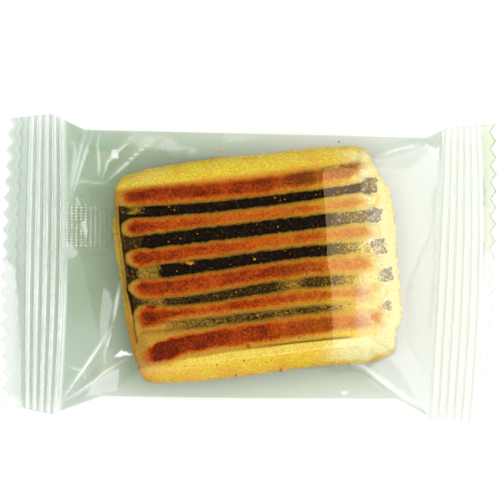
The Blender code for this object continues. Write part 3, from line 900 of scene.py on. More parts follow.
# %% Where the ridges end
# (v, u) of the crevice behind the left lip, and of the ridges' right ends.
CREVICE = np.array([(-12.5, -21.5), (-10.6, -22.5), (-8.3, -22.7), (-5.6, -22.6), (-3.5, -22.7),
                    (-1.1, -23.0), (1.5, -22.8), (6.3, -22.8), (9.5, -22.8), (13.3, -22.5),
                    (14.7, -22.4)])
RIGHT_ENDS = np.array([(-12.6, 20.9), (-7.1, 21.8), (-2.1, 21.8), (3.2, 22.0), (7.4, 22.3),
                       (12.5, 23.0)])
END_RADIUS = 2.3
crevice_u = np.interp(V, *CREVICE.T)
right_end_u = np.interp(V, *RIGHT_ENDS.T)
past_crevice = U - crevice_u
in_reach = step(V, -11.5, -10.0) * (1 - step(V, 12.8, 14.6))
left_over = 0.97 * np.clip(1 - past_crevice / END_RADIUS, 0, 1) * in_reach
past_right_end = step(1 - (right_end_u - U) / END_RADIUS, 0.0, 1.3)
print("ridges end at u", right_end_u.min().round(1), "to", right_end_u.max().round(1), "mm")

# %% [markdown]
# ## Heights of the dough
#
# The height is built up as a baker would see it. First the body: a loaf with
# rounded flanks. Then the ridges: from its crest a ridge falls as a quarter of
# an ellipse, slowly at first and upright at the slit's edge. Below that edge
# the slit's floor is either under the paste, where it is open, or above it,
# where dough covers it.

# %% Heights of the dough
RIM_Z, BODY_Z, CREST = 4.6, 11.9, 1.3
FLANK_ROUND, END_ROUND = 6.4, 1.8
FILLING_Z = 10.6
HALF_PITCH, TOP_HALF_PITCH, SLIT_DEPTH = 2.58, 2.9, 2.35
TAPER_START = 9
# The most that the dough may rise, so that it stays under the film.
UNDER_FILM = 13.3

from_ends = (1 - np.abs(A)) * HALF_LENGTH / END_ROUND
from_sides = (1 - np.abs(B)) * HALF_WIDTH / FLANK_ROUND
inward = np.clip(soft_min(from_ends, from_sides, 0.25), 0, 1)
dome = (1 - (1 - inward) ** 2.4) ** (1 / 2.1)
taper = 0.055 * np.maximum(U - TAPER_START, 0) + 0.02 * np.maximum(-U - 14, 0)
body = RIM_Z + (BODY_Z - RIM_Z) * dome - taper * dome

crack_aside = V - line_at(CRACK, U)
upward = aside > 0
top_ridge = upward & (nearest[0] == 0)
last_ridge = ~upward & (nearest[0] == 4)
reach = np.where(top_ridge, TOP_HALF_PITCH, HALF_PITCH)
to_slit = np.clip((reach - np.abs(aside)) / (reach - slit_width), 0, None)
to_slit = np.hypot(to_slit, left_over)
fall = 1 - (1 - np.clip(to_slit, 0, 1) ** 2.3) ** (1 / 1.8)
crest = CREST * step(dome, 0.6, 0.98) * (1 - 0.9 * past_right_end)
beyond_top = np.maximum(V - line_at(TOP_SHOULDER, U), 0)
crest = np.where(top_ridge, crest * (1 - step(beyond_top, 0, 3.4)), crest)
low_side = np.maximum(-11.3 - V, 0)
crest = np.where(last_ridge, crest * (1 - 0.75 * step(low_side, 0.3, 2.9)), crest)
floor_rise = step(cover, 0.0, 0.3)
open_floor = FILLING_Z - 1.1 + 1.6 * floor_rise + 0.1 * floor_rise * soft_noise(U, V, 0.6, 31)
open_floor = open_floor + 0.4 * step(cover, 0.6, 1.2)
wall = body + crest - SLIT_DEPTH * fall - 5.0 * np.maximum(to_slit - 1, 0)
height = np.maximum(wall, np.minimum(open_floor, body + crest))
print("crests up to", height.max().round(2), "mm high")

# %% [markdown]
# The crevice and the crack are narrow grooves in that height, each with a soft
# lip of dough beside it. Last, noise of the semolina's grain size roughens the
# crust, and the whole height is kept below the film.

# %% Crevice and lip at the left end, crack along the last ridge
CREVICE_DEPTH, CRACK_DEPTH = 0.7, 0.8
crevice_dip = bell(past_crevice, -0.05, 0.14) * in_reach
height = height - CREVICE_DEPTH * crevice_dip
lip_share = step(-past_crevice, 0.05, 0.35) * in_reach
lip = bell(past_crevice, -0.9, 0.5)
height = height * (1 - lip_share) + (body - 0.7 + 0.5 * lip) * lip_share
crack_start, crack_end = CRACK_ENDS
along_crack = step(U, crack_start, crack_start + 3) * (1 - step(U, crack_end - 3, crack_end))
in_crack = bell(crack_aside, 0, 0.13) * along_crack
lip_over_crack = bell(crack_aside, 0.45, 0.3) * along_crack
crack_open = 0.4 + 0.6 * step(U, -6.0, 3.0)
height = height - (CRACK_DEPTH * in_crack - 0.15 * lip_over_crack) * crack_open
print("crack up to", (CRACK_DEPTH * in_crack * crack_open).max().round(2), "mm deep")

# %% Small unevenness of the crust
grain = (0.05 * soft_noise(U, V, 0.45, 41) + 0.035 * soft_noise(U, V, 0.28, 42)
         + 0.08 * soft_noise(U, V, 2.6, 43))
height = height + grain * step(dome, 0.0, 0.3)
half_length, half_width, corner = TAUT_TOP
past_corner = np.hypot(np.maximum(np.abs(U) - half_length + corner, 0),
                       np.maximum(np.abs(V) - half_width + corner, 0)) - corner
height = np.minimum(height, UNDER_FILM - taper - 0.9 * np.maximum(past_corner - 0.2, 0))
print("dough from", height.min().round(2), "to", height.max().round(2), "mm high")

# %% [markdown]
# ## Masks for the crust's colours
#
# The oven browns what stands highest, so the crests are red-brown, their sides golden, and the
# flanks stay yellow. Next to the slits the dough is olive, partly moist from the paste and partly
# painted shade of the slits. These places are masks from 0 to 1 on the points; the material turns
# them into colour. Numbers inside a step are places in mm, and the others are strengths from 0 to 1
# that were matched. First comes the browning, ridge by ridge.

# %% How brown each ridge is
# At these places along the bar, one row per ridge from the top one down.
BAKE_AT = (-20, -15, -6, 0, 9, 15, 18)
RIDGE_BAKE = ((0.86, 0.84, 0.84, 0.80, 1.02, 1.35, 1.30),
              (0.86, 0.70, 0.58, 0.57, 0.62, 0.66, 0.95),
              (0.94, 0.86, 0.68, 0.52, 0.62, 0.72, 0.68),
              (1.00, 0.74, 0.77, 0.82, 0.76, 0.90, 0.80),
              (1.00, 0.80, 0.84, 0.70, 0.64, 0.80, 0.90),
              (1.05, 0.98, 0.84, 0.82, 0.72, 1.00, 0.95))
ridge_number = np.where(upward, nearest[0], nearest[0] + 1)
bake_along = np.stack([np.interp(U, BAKE_AT, row) for row in RIDGE_BAKE])
strength = np.take_along_axis(bake_along, ridge_number[None], 0)[0]
print("ridge strengths", strength.min().round(2), "to", strength.max().round(2))

# %% [markdown]
# The browned top of a ridge fades towards the slits, and it is rounded off at
# both ends. The first ridge stops at the bar's upper edge, and the last one
# between its own lower edge and the crack. Noise frays all of these borders.

# %% Where the browned crests end
# (u, v) of the upper limit of the browning, and below of the last ridge's lower one.
TOP_EDGE = np.array([(-20.7, 16.4), (-16.8, 16.4), (-8.0, 16.1), (2.9, 15.75), (13.2, 15.95),
                     (20.3, 16.3), (22.5, 16.3)])
over_top_edge = V - np.interp(U, *TOP_EDGE.T)
closed = np.clip((cover - 0.95) / 0.3, 0, 1)
narrower = np.where(ridge_number == 4, 1 - 0.5 * closed, 1.0)
narrower = narrower * np.where((ridge_number == 4) & upward, 1.2, 1.0)
LAST_EDGE = np.array([(-22.0, -12.2), (-20.6, -11.3), (-18.3, -10.5), (-14.0, -10.0), (-5.0, -9.3),
                      (20.0, -9.3)])
below_edge = np.where(ridge_number == 5, np.interp(U, *LAST_EDGE.T) - V, 9.0)
uneven_slit = to_slit + 0.07 * soft_noise(U, V, 0.5, 54) + 0.07 * soft_noise(U, V, 1.3, 55)
# u where the browning of each ridge begins and ends, and how far it takes to fade.
BROWN_FROM = np.array([-22.8, -23.3, -23.2, -23.2, -22.9, -23.0])
BROWN_TO = np.array([21.4, 21.4, 22.2, 21.6, 20.4, 19.6])
SOFT_START = np.array([3.4, 3.2, 3.2, 3.2, 2.8, 5.0])
SOFT_END = 4.6
uneven_end = 0.35 * soft_noise(U, V, 0.9, 56)
left_round = 1 - (U - BROWN_FROM[ridge_number] + uneven_end) / SOFT_START[ridge_number]
slanted = np.where(ridge_number == 0, 0.8 * (V - 14.4), 0.0)
right_round = 1 - (BROWN_TO[ridge_number] + 0.6 - U + slanted + uneven_end) / SOFT_END
end_round = np.clip(np.maximum(left_round, right_round), 0, 1.5)
on_crest = 1 - step(np.hypot(uneven_slit * narrower, end_round), 0.22, 1.0)
on_crest = on_crest * (1 - step(over_top_edge + 0.5 * uneven_end, -1.1, 0.3))
over_crack = crack_aside - 0.5 * step(U, -18.0, -14.0) - 0.3 * step(U, 5.0, 12.0)
on_crest = on_crest * step(over_crack + 0.5 * uneven_end, -0.1, 1.1)
on_crest = on_crest * step(below_edge + 0.5 * uneven_end, -0.4, 0.7)
print("crests cover", (100 * on_crest.mean()).round(), "% of the mesh points")

# %% Browned spots, patches and the scorched edge
# (u, v, radius in mm, strength) of three browned spots beyond the crests' ends
for spot_u, spot_v, spot_radius, share in ((19.7, -11.5, 2.3, 1.0), (20.0, -6.5, 1.3, 0.6),
                                           (-19.1, -4.8, 1.2, 1.0)):
    from_spot = np.hypot(U - spot_u, V - spot_v) / spot_radius + uneven_end
    on_crest = np.maximum(on_crest, share * (1 - step(from_spot, 0.2, 1.2)))
# Painted reflection: the crust browns less past the line where the film's veil begins, and a little
# less again near the right end.
fade_past_veil = 1 - 0.46 * step(U, 10.8, 13.0) - 0.1 * step(U, 17.0, 21.0)
patchy = 0.16 * soft_noise(U, V * 1.6, 3.4, 51) + 0.1 * soft_noise(U, V, 1.2, 52)
bake = np.clip(on_crest * fade_past_veil * strength * (1 + patchy), 0, 1)
scorched = bell(over_top_edge, -0.6, 0.5)
scorched = scorched * step(U, 12.5, 14.0) * (1 - step(U, 19.5, 21.5))
scorched = scorched * (1.6 - 0.6 * step(U, 15.5, 17.5))
bake = np.clip(bake + scorched * (0.45 + 0.5 * soft_noise(U, V, 0.5, 58)), 0, 1)
print("mean browning", bake.mean().round(2))

# %% [markdown]
# Flank is the yellow of the sides and of the right end, which the oven hardly browned; over the
# right half it also carries painted light of the veil. Pale is lighter dough at the far right and
# along the bottom, partly browned less and partly painted light of the veil and of the rolls at the
# left. Olive is dough next to a slit and on its floor, partly moist from the paste and partly
# painted shade; painted olive shade also lies along the top roll and on the left lip.

# %% Flank, pale and olive masks, with painted light and painted shade
at_left = 1 - step(U, -20.0, -13.0)
flank = np.maximum(step(over_top_edge, -0.3, 0.7),
                   1 - step(crack_aside, -0.3 - 1.2 * at_left, 0.35))
inner_lip = lip_share * step(past_crevice, -1.25, -0.5)
flank = np.maximum(flank, 0.7 * (lip_share - inner_lip))
# Painted light of the veil: the flank's yellow over the right half, off the crests.
paler_and_lit = 0.9 * (0.25 * step(U, 1.0, 8.0) + 0.75 * step(U, 9.0, 16.0)) * (1 - 0.85 * on_crest)
flank = np.maximum(flank, np.maximum(past_right_end, paler_and_lit))
on_bottom = 1 - step(crack_aside, -0.6, 0.1)
# Painted light: paler at the right end and along the bottom, over dough that is browned less there.
pale_and_lit = np.clip(step(U, 15.0, 22.0) * (1 - on_crest) + on_bottom * step(U, 7.0, 14.0), 0, 1)
pale_and_lit = pale_and_lit * step(inward, 0.02, 0.2)
on_floor = step(to_slit, 0.9, 1.03)
near_slit = step(uneven_slit, 0.72, 1.02)
# Olive next to the slits and on their floors: painted shade of the slits, and dough moist from the
# paste.
olive_and_shade = np.clip(near_slit * (1 - flank * 0.6), 0, 1)
olive_and_shade = olive_and_shade * (1 - 0.8 * np.clip((cover - 0.85) / 0.35, 0, 1))
olive_and_shade = olive_and_shade * (1 - 0.6 * step(U, 10.0, 16.0))
top_roll = step(over_top_edge, 0.2, 1.2)
# Painted light on the rolls at the left, top and bottom.
pale_and_lit = np.maximum(pale_and_lit, 0.14 * top_roll * (1 - step(U, -17.0, -11.0)))
pale_and_lit = np.maximum(pale_and_lit, 0.22 * on_bottom * step(inward, 0.35, 0.6) * step(U, -20.0, -15.0))
# Painted shade: olive along the top roll, inside the left lip and low on it.
olive_and_shade = np.maximum(olive_and_shade, 0.16 * top_roll)
olive_and_shade = olive_and_shade * (1 - lip_share) + 0.45 * inner_lip + 0.35 * lip_share * step(-V, 4.5, 8.0)
print("mean flank, pale and olive", [mask.mean().round(2) for mask in (flank, pale_and_lit, olive_and_shade)])

# %% [markdown]
# Rim is a dotted darker line round the bar's widest place. Toast is a golden tone along the upper
# edge and on the lower flank, and a painted shade line round the ends of the slits. Dark is the
# shade in the crack and the crevice, and bare marks where the paste is open to view.

# %% Rim, toast with painted shade, dark and bare masks
rim = (1 - step(inward, 0.0, 0.16)) * (1 - 0.6 * step(U, 12.0, 20.0))
toast_and_shade = 0.5 * lip_share * step(-V, 2.0, 9.0)
toast_and_shade = toast_and_shade + 0.6 * bell(over_top_edge, 0.1, 0.6) * step(U, -13.0, -5.0)
low_flank = 1 - step(inward, 0.2, 0.6)
toast_and_shade = toast_and_shade + 0.3 * on_bottom * (1 - step(U, -21.5, -17.0))
bottom_patches = 1 + 0.6 * soft_noise(U, V, 3.1, 57)
toast_and_shade = np.clip(toast_and_shade, 0, 1) + on_bottom * (0.12 + 0.33 * low_flank) * bottom_patches
toast_and_shade = np.clip(toast_and_shade * (1 - 0.8 * step(U, 7, 15)), 0, 1)
# Painted shade: a golden-brown line round the rounded right ends of the ridges.
past_end = np.clip(1 - (right_end_u - U) / 2.2, 0, 2)
cap_line = bell(np.hypot(uneven_slit, past_end), 1.0, 0.26) * step(past_end, 0.1, 0.5)
cap_line = cap_line * (U > 0) * in_reach * (0.6 + 0.4 * soft_noise(U, V, 1.3, 59))
toast_and_shade = np.maximum(toast_and_shade, 0.5 * cap_line)
pale_and_lit = pale_and_lit * (1 - 0.5 * cap_line)
crack_dark = 0.7 * in_crack * (0.3 + 0.7 * step(U, -6.0, 3.0))
dark = np.clip(crack_dark + 0.65 * crevice_dip, 0, 1)
bare = on_floor * (1 - np.clip(cover, 0, 1)) * (1 - lip_share)
top_masks = {"bake": bake, "flank": flank, "olive_and_shade": olive_and_shade, "toast_and_shade": toast_and_shade, "rim": rim,
             "pale_and_lit": pale_and_lit, "dark": dark, "bare": bare}
print("masks of the crust:", ", ".join(top_masks))

# %% [markdown]
# ## The underside of the bar
#
# Below its widest line the bar curves in to a flat base. Rings that follow
# the outline, each a little smaller and lower, make that curve, and a fan of
# triangles closes the middle.

# %% Underside rings and the whole dough mesh
BASE_Z = 0.45
# (inset from the outline, height, browning) of each ring, in mm
RINGS = np.array([(0.15, 3.6, 0.05), (0.55, 2.6, 0.12), (1.2, 1.65, 0.22), (2.2, 0.95, 0.32),
                  (3.6, BASE_Z, 0.4), (9.0, BASE_Z, 0.4)])
# Half the bar's size, near enough, by which an inset becomes a scale.
MEAN_RADIUS = 21.0


def to_plan(u, v):
    """Plan position in mm of a point given along and across the bar."""
    x = u * np.cos(DOUGH_TURN) - v * np.sin(DOUGH_TURN) + BAR_CENTRE[0] + PLAN_SHIFT[0]
    y = u * np.sin(DOUGH_TURN) + v * np.cos(DOUGH_TURN) + BAR_CENTRE[1] + PLAN_SHIFT[1]
    return x, y


loop = border(*U.shape)
rim_u, rim_v = U.ravel()[loop], V.ravel()[loop]
top_count, ring_count = U.size, len(loop)
shrink = 1 - RINGS[:, :1] / MEAN_RADIUS
ring_u, ring_v = rim_u * shrink, rim_v * shrink
ring_z = np.broadcast_to(RINGS[:, 1:2], ring_u.shape)
all_u = np.concatenate([U.ravel(), ring_u.ravel(), [0.0]])
all_v = np.concatenate([V.ravel(), ring_v.ravel(), [0.0]])
all_z = np.concatenate([height.ravel(), ring_z.ravel(), [BASE_Z]])
dough_points = np.stack([*to_plan(all_u, all_v), all_z], -1)
loops = [loop] + [top_count + k * ring_count + np.arange(ring_count) for k in range(len(RINGS))]
dough_faces = [grid_quads(*U.shape)]
dough_faces += [wall_quads(upper, lower) for upper, lower in zip(loops[:-1], loops[1:])]
centre = np.full(ring_count, len(all_u) - 1)
dough_faces.append(np.stack([np.roll(loops[-1], -1), loops[-1], centre], -1)[:, ::-1])

under_count = ring_u.size + 1
under_masks = {"bake": np.append(np.repeat(RINGS[:, 2], ring_count), RINGS[-1, 2]),
               "rim": np.full(under_count, 0.5)}
plain = np.zeros(under_count)
dough_masks = {name: np.concatenate([values.ravel(), under_masks.get(name, plain)])
               for name, values in top_masks.items()}
print("dough of", len(dough_points), "points, of which", under_count, "are on its underside")

# %% [markdown]
# ## Baked semolina dough as a material
#
# Semolina crust is matt and fine-grained, with grains of 0.3 to 0.5 mm. A
# ramp turns the bake mask into the colours of the oven, from gold through
# orange to red-brown. Noise of the grains' size shifts the mask before the
# ramp, so the browning breaks up into specks as on a real crust. The other
# masks lay their colours over it, and smears of paste come last.

# %% Dough material
# Patterns of the crust: name, size in mm, detail and roughness of the noise.
CRUST_NOISES = (("grains", 0.45, 3.0, 0.65), ("patches", 3.0, 2.0, 0.5), ("dots", 0.7, 1.0, 0.5),
                ("smears", 0.4, 2.0, 0.6), ("grit", 0.3, 2.0, 0.7))
# Small brown spots: one cell in fourteen, of this size in mm, holds one.
SPOT_CELL = 1.1


def dough_material():
    """Baked semolina dough: a ramp of oven colours with the masks' colours laid over it."""
    material, tree, output = new_material("baked_semolina_dough")
    place = add_node(tree, "ShaderNodeTexCoord").outputs["Object"]
    mask = {name: add_node(tree, "ShaderNodeAttribute", {"attribute_name": name}).outputs["Fac"]
            for name in top_masks}
    noise = {name: add_node(tree, "ShaderNodeTexNoise", Vector=place, Scale=1 / (size * MM),
                            Detail=detail, Roughness=roughness).outputs["Fac"]
             for name, size, detail, roughness in CRUST_NOISES}

    # The ramp of oven colours over bake and grains.
    shift = add_node(tree, "ShaderNodeMapRange", Value=noise["grains"], From_Min=0.3,
                     From_Max=0.7, To_Min=-0.2, To_Max=0.2)
    baked = add_node(tree, "ShaderNodeMath", {"operation": "ADD"}, _0=mask["bake"],
                     _1=shift.outputs[0])
    crust = add_node(tree, "ShaderNodeValToRGB", _0=baked.outputs[0], stops=(
        (0.0, "#c6963c"), (0.14, "#c8862b"), (0.4, "#cf6a1b"), (0.62, "#b84a0f"),
        (0.82, "#96340b"), (1.0, "#6a1f08"))).outputs["Color"]

    # Unbrowned yellow, the olive of moist dough and painted shade, and the paste's colour, lighter
    # where painted light lies under the veil.
    orange = add_node(tree, "ShaderNodeMapRange", Value=noise["patches"], From_Min=0.5,
                      From_Max=0.8).outputs[0]
    speck = add_node(tree, "ShaderNodeMapRange", Value=noise["grains"], From_Min=0.38,
                     From_Max=0.64).outputs[0]
    fine = add_node(tree, "ShaderNodeMath", TIMES, _0=speck, _1=0.8).outputs[0]
    yellow = lay_over(tree, "#fbe044", ((orange, "#f5b83c"), (fine, "#e6b03a")))
    damp_and_shade = lay_over(tree, "#b48a38", ((speck, "#664a1a"),))
    paste = lay_over(tree, "#20120b", ((mask["pale_and_lit"], "#6e5438"),))

    # Dots along the rim, and pale dough, partly unbaked and partly painted light.
    dots = add_node(tree, "ShaderNodeMapRange", Value=noise["dots"], From_Min=0.5,
                    From_Max=0.66, To_Max=0.8)
    rim_dots = add_node(tree, "ShaderNodeMath", TIMES, _0=dots.outputs[0], _1=mask["rim"])
    unbaked_and_lit = add_node(tree, "ShaderNodeMath", TIMES, _0=mask["pale_and_lit"], _1=0.68)

    # Smears of paste where the slit is open, thicker the barer the floor is.
    smear = add_node(tree, "ShaderNodeMath", TIMES_PLUS, _0=noise["smears"], _1=1.9,
                     _2=mask["bare"])
    smear = add_node(tree, "ShaderNodeMapRange", Value=smear.outputs[0], From_Min=1.08,
                     From_Max=1.7, To_Max=0.92)
    in_slit = add_node(tree, "ShaderNodeMapRange", Value=mask["bare"], From_Min=0.03,
                       From_Max=0.15)
    on_paste = add_node(tree, "ShaderNodeMath", TIMES, _0=smear.outputs[0],
                        _1=in_slit.outputs[0])

    # A brown spot in the few cells whose random colour is high.
    cells = add_node(tree, "ShaderNodeTexVoronoi", Vector=place, Scale=1 / (SPOT_CELL * MM))
    small = add_node(tree, "ShaderNodeMapRange", Value=cells.outputs["Distance"], From_Min=0.10,
                     From_Max=0.14, To_Min=1.0, To_Max=0.0)
    pick = add_node(tree, "ShaderNodeSeparateColor", Color=cells.outputs["Color"])
    few = add_node(tree, "ShaderNodeMath", {"operation": "GREATER_THAN"}, _0=pick.outputs[0],
                   _1=0.93)
    spots = add_node(tree, "ShaderNodeMath", TIMES, _0=small.outputs[0], _1=few.outputs[0])

    # All coats in their order, then the light and dark of single grains.
    colour = lay_over(tree, crust, (
        (mask["flank"], yellow), (mask["olive_and_shade"], damp_and_shade), (mask["toast_and_shade"], "#ee9c30"),
        (rim_dots.outputs[0], "#c4762a"), (unbaked_and_lit.outputs[0], "#fff3ba"),
        (mask["dark"], "#2a1c0c"), (on_paste.outputs[0], paste), (spots.outputs[0], "#5a2c10")))
    grit = add_node(tree, "ShaderNodeMapRange", Value=noise["grit"], From_Min=0.3, From_Max=0.7,
                    To_Min=0.8, To_Max=1.2)
    colour = add_node(tree, "ShaderNodeVectorMath", {"operation": "SCALE"}, _0=colour,
                      Scale=grit.outputs[0]).outputs[0]
    bump = add_node(tree, "ShaderNodeBump", Strength=0.5, Distance=0.1 * MM,
                    Height=noise["grains"])
    shader = add_node(tree, "ShaderNodeBsdfPrincipled", Base_Color=colour, Roughness=0.62,
                      IOR=1.45, Specular_IOR_Level=0.05, Normal=bump.outputs[0])
    tree.links.new(shader.outputs[0], output.inputs["Surface"])
    return material


DOUGH = dough_material()
dough = make_piece("baked_bar", dough_points, dough_faces, DOUGH, dough_masks)

# %% [markdown]
# ## Date paste
#
# The filling is ground date: nearly black brown, coarse and slightly moist.
# Only its surface in the slits can be seen, so it is a shallow block that
# fills the bar at that level. Its top is rough by noise at three sizes.

# %% Date paste block
FILL_LOW, FILL_HIGH, FILL_BASE_Z = -11.3, 13.6, 8.2
# How far the paste stays inside the bar's left and right sides.
FILL_INSETS = (2.6, 2.4)
FILL_ALONG, FILL_ACROSS = np.linspace(0, 1, 210), np.linspace(0, 1, 118)
fill_a, fill_b = np.meshgrid(FILL_ALONG, FILL_ACROSS, indexing="ij")
fill_v = FILL_LOW + (FILL_HIGH - FILL_LOW) * fill_b
fill_left = np.interp(fill_v, *LEFT_SIDE.T) + FILL_INSETS[0]
fill_right = np.interp(fill_v, *RIGHT_SIDE.T) - FILL_INSETS[1]
fill_u = fill_left + (fill_right - fill_left) * fill_a
rough = (0.14 * soft_noise(fill_u, fill_v, 0.5, 61) + 0.1 * soft_noise(fill_u, fill_v, 0.3, 62)
         + 0.15 * soft_noise(fill_u, fill_v, 1.8, 63))
fill_taper = 0.05 * np.maximum(fill_u - TAPER_START, 0)
date_points = grid_points(*to_plan(fill_u, fill_v), FILLING_Z - fill_taper + rough,
                          np.full(fill_u.shape, FILL_BASE_Z))
print("paste rough by", rough.std().round(2), "mm")

# %% [markdown]
# Ground dates are skin and flesh with a little fat. The flesh is nearly black
# in the deep slits, bits of skin show as tan specks of half a millimetre, and
# the moist surface has a low, broad sheen.

# %% Date paste material
PASTE_GRIT = 0.5


def date_material():
    """Ground date paste: near black, tan specks, a low moist sheen."""
    material, tree, output = new_material("ground_date_paste")
    place = add_node(tree, "ShaderNodeTexCoord").outputs["Object"]
    grit = add_node(tree, "ShaderNodeTexNoise", Vector=place, Scale=1 / (PASTE_GRIT * MM),
                    Detail=4.0, Roughness=0.7).outputs["Fac"]
    colour = add_node(tree, "ShaderNodeValToRGB", _0=grit, stops=(
        (0.0, "#0d0705"), (0.5, "#180d07"), (0.6, "#2d1b0d"), (0.68, "#5c4220"),
        (1.0, "#8a6a38"))).outputs["Color"]
    bump = add_node(tree, "ShaderNodeBump", Strength=0.6, Distance=0.2 * MM, Height=grit)
    shader = add_node(tree, "ShaderNodeBsdfPrincipled", Base_Color=colour, Roughness=0.5,
                      IOR=1.45, Specular_IOR_Level=0.06, Normal=bump.outputs[0])
    tree.links.new(shader.outputs[0], output.inputs["Surface"])
    return material


date = make_piece("date_filling", date_points, closed_skin(*fill_u.shape), date_material())

# %% [markdown]
# ## Crumbs
#
# A few crumbs lie in the pack and on the bar, and fine ones stick to the
# paste. Each is a ball of 80 faces with dented points, squashed and turned at
# random, and all are one mesh.

# %% Crumbs
# (x, y in mm, radius, colour mask: 0 yellow, 1 brown)
LOOSE_CRUMBS = ((-5.8, 20.9, 0.42, 0.1), (-14.8, 20.7, 0.16, 0.6), (-29.3, 12.7, 0.15, 0.6),
                (15.6, 22.4, 0.2, 0.8), (-5.3, 20.5, 0.25, 0.1), (0.4, 22.6, 0.14, 0.5))
BAR_CRUMBS = ((-0.2, -13.4, 0.4, 0.55), (-11.0, 1.35, 0.4, 0.45), (-10.5, 1.2, 0.5, 0.15),
              (-9.95, 1.15, 0.38, 0.45), (-1.0, -15.9, 0.16, 0.8), (2.8, -16.1, 0.16, 0.8),
              (3.7, -15.8, 0.14, 0.8), (-2.5, -18.5, 0.25, 0.6), (5.4, -17.6, 0.3, 0.6),
              (13.0, -4.1, 0.2, 1.0), (9.5, -0.9, 0.18, 0.2), (0.8, 1.8, 0.3, 0.3))
FLECKS = 110


def ball():
    """Points and triangles of a ball of radius 1 with 80 faces."""
    shape = bmesh.new()
    bmesh.ops.create_icosphere(shape, subdivisions=2, radius=1.0)
    points = np.array([vertex.co[:] for vertex in shape.verts])
    faces = np.array([[vertex.index for vertex in face.verts] for face in shape.faces])
    shape.free()
    return points, faces


BALL_POINTS, BALL_FACES = ball()
random = np.random.default_rng(71)


def crumb_points(centres, radii):
    """A dented, squashed and turned ball at each centre."""
    dents = 1 + 0.28 * random.uniform(-1, 1, (len(centres), len(BALL_POINTS), 1))
    squash = random.uniform(0.65, 1.15, (len(centres), 1, 3)) * (1, 1, 0.8)
    turn = random.uniform(0, 2 * np.pi, len(centres))
    cosine, sine = np.cos(turn)[:, None], np.sin(turn)[:, None]
    shape = BALL_POINTS * dents * squash
    x = shape[..., 0] * cosine - shape[..., 1] * sine
    y = shape[..., 0] * sine + shape[..., 1] * cosine
    return np.stack([x, y, shape[..., 2]], -1) * radii[:, None, None] + centres[:, None]


def height_at(points, plan):
    """Height of the point of a surface that is nearest in plan to each plan point."""
    return np.array([points[np.hypot(*(points[:, :2] - at).T).argmin(), 2] for at in plan])


# %% [markdown]
# The listed crumbs lie where they are seen. The flecks are drawn at random in
# the slits, more of them towards the right end, where the paste is speckled.

# %% Place the crumbs and flecks
loose, bar_crumbs = np.array(LOOSE_CRUMBS), np.array(BAR_CRUMBS)
loose[:, :2] += PLAN_SHIFT
bar_crumbs[:, :2] += PLAN_SHIFT
fleck_u = 22 - 42 * random.uniform(0, 1, FLECKS) ** 3.6
fleck_slit = random.integers(0, len(SLITS), FLECKS)
fleck_v = np.array([line_at(MIDDLE_LINES[k], u) for k, u in zip(fleck_slit, fleck_u)])
fleck_v = fleck_v + random.uniform(-0.8, 0.8, FLECKS)
flecks = np.stack([*to_plan(fleck_u, fleck_v), random.uniform(0.06, 0.17, FLECKS),
                   random.uniform(0.15, 0.4, FLECKS)], -1)
crumb_rows = np.concatenate([loose, bar_crumbs, flecks])
loose_z = height_at(film_points[sheet_x.size:], loose[:, :2])
bar_z, fleck_z = (np.maximum(height_at(dough_points[:top_count], rows[:, :2]),
                             height_at(date_points[:fill_u.size], rows[:, :2]))
                  for rows in (bar_crumbs, flecks))
crumb_z = np.concatenate([loose_z + 0.9 * loose[:, 2], bar_z + 0.4 * bar_crumbs[:, 2],
                          fleck_z + 0.03])
crumb_centres = np.column_stack([crumb_rows[:, :2], crumb_z])
crumb_xyz = crumb_points(crumb_centres, crumb_rows[:, 2]).reshape(-1, 3)
crumb_faces = BALL_FACES[None] + np.arange(len(crumb_rows))[:, None, None] * len(BALL_POINTS)
crumb_brown = np.repeat(crumb_rows[:, 3], len(BALL_POINTS))
crumb_masks = dict.fromkeys(top_masks, 0 * crumb_brown)
crumb_masks.update(bake=0.9 * crumb_brown, flank=np.clip(1 - crumb_brown * 2, 0, 1))
crumbs = make_piece("crumbs", crumb_xyz, [crumb_faces.reshape(-1, 3)], DOUGH, crumb_masks)

# %% [markdown]
# ## What each piece stands for
#
# All pieces ride on the one body of the model and stand for its one solid.

# %% Bind the pieces to the frame
for piece, finish in ((film, "clear_film"), (fin, "clear_film"), (dough, "baked_dough"),
                      (date, "date_paste"), (crumbs, "baked_dough")):
    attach(piece, "root")
    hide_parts("sealed_pack")

# %% [markdown]
# ## Floor, light and camera
#
# The pack was photographed from straight above on white. The floor is a matt
# white board that reaches far past the pack on all sides.

# %% Floor
board, board_tree, board_output = new_material("matt_white_board")
board_shader = add_node(board_tree, "ShaderNodeBsdfDiffuse", Color="#f8f8f8")
board_tree.links.new(board_shader.outputs[0], board_output.inputs["Surface"])
FLOOR_HALF, FLOOR_DROP = 6000.0, 0.02
floor_plan = np.array([(-1, -1), (-1, 1), (1, -1), (1, 1)]) * FLOOR_HALF
floor_points = np.column_stack([floor_plan, np.full(4, -FLOOR_DROP)])
floor = make_piece("floor", floor_points, [np.array([[0, 2, 3, 1]])], board)

# %% [markdown]
# The sky is dark overhead and bright at the horizon, so level film mirrors
# nothing and steep film shines. Three soft lights do the rest. The key light,
# broad and on the right, throws the bar's shade to the left. The fill light,
# nearly overhead, softens that shade and is kept out of the film's mirror. The
# veil light is a warm one that only mirrors show: it makes the pale veil over
# the ridges.

# %% World light
world = bpy.data.worlds.new("studio")
bpy.context.scene.world = world
world.use_nodes = True
sky = world.node_tree
sky.nodes.clear()
direction = add_node(sky, "ShaderNodeTexCoord").outputs["Generated"]
upward_part = add_node(sky, "ShaderNodeSeparateXYZ", Vector=direction).outputs["Z"]
brightness = add_node(sky, "ShaderNodeMapRange", {"interpolation_type": "SMOOTHSTEP"},
                      Value=upward_part, From_Min=0.5, From_Max=0.12, To_Min=0.02,
                      To_Max=0.4).outputs[0]
background = add_node(sky, "ShaderNodeBackground", Color="#ffffff", Strength=brightness)
add_node(sky, "ShaderNodeOutputWorld", Surface=background.outputs[0])


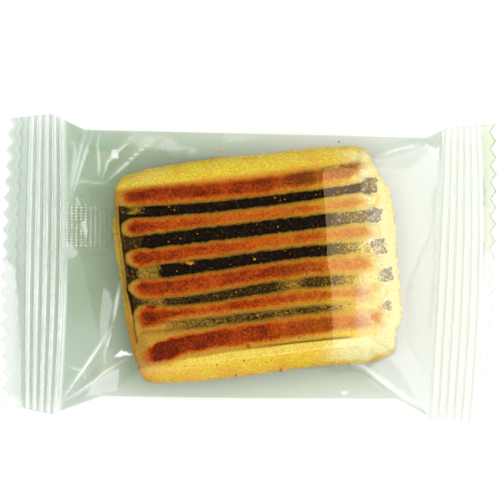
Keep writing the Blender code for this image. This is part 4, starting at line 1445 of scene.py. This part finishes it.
# %% Soft lights
def soft_light(name, off_vertical, heading, distance, width, depth, radiance):
    """A rectangular light that looks at the bar from off_vertical degrees off the zenith.

    Sizes are in metres. Its power follows from its radiance: pi x area x radiance.
    """
    lamp = bpy.data.lights.new(name, "AREA")
    lamp.shape = "RECTANGLE"
    lamp.size, lamp.size_y = width, depth
    lamp.energy = np.pi * width * depth * radiance
    light = bpy.data.objects.new(name, lamp)
    tilt, turn = np.radians(off_vertical), np.radians(heading)
    light.location = (distance * np.sin(tilt) * np.cos(turn),
                      distance * np.sin(tilt) * np.sin(turn), distance * np.cos(tilt))
    light.rotation_euler = (0.0, tilt, turn)
    light.visible_camera = False
    bpy.context.scene.collection.objects.link(light)
    return light


veil_light = soft_light("veil_light", 11.5, 0, 0.7, 0.20, 1.3, 2.7)
veil_light.data.color = linear("#ffdcae")[:3]
veil_light.visible_diffuse = False
soft_light("key_light", 54, 0, 0.6, 0.81, 1.5, 1.45)
fill_light = soft_light("fill_light", 12, 180, 0.8, 1.5, 1.4, 1.95)
fill_light.visible_glossy = False

# %% [markdown]
# The camera looks straight down from far off. Its lens is worked out so that a
# millimetre takes 5.7 pixels at the scale level, 5 mm above the floor.

# %% Camera
PIXELS, PIXELS_PER_MM, SENSOR = 500, 5.7, 36.0
CAMERA_HEIGHT, SCALE_LEVEL = 1.2, 0.005
IMAGE_MIDDLE_Y = 3.4
lens = SENSOR * (CAMERA_HEIGHT - SCALE_LEVEL) / (PIXELS / PIXELS_PER_MM * MM)
camera_data = bpy.data.cameras.new("camera")
camera_data.sensor_width = SENSOR
camera_data.lens = lens
camera_data.clip_start, camera_data.clip_end = 0.05, 50.0
camera = bpy.data.objects.new("camera", camera_data)
camera.location = (PLAN_SHIFT[0] * MM, (IMAGE_MIDDLE_Y + PLAN_SHIFT[1]) * MM, CAMERA_HEIGHT)
bpy.context.scene.collection.objects.link(camera)
bpy.context.scene.camera = camera
bpy.context.scene.view_settings.view_transform = "Standard"
bpy.context.scene.cycles.transparent_max_bounces = 24
print("lens", round(lens), "mm")
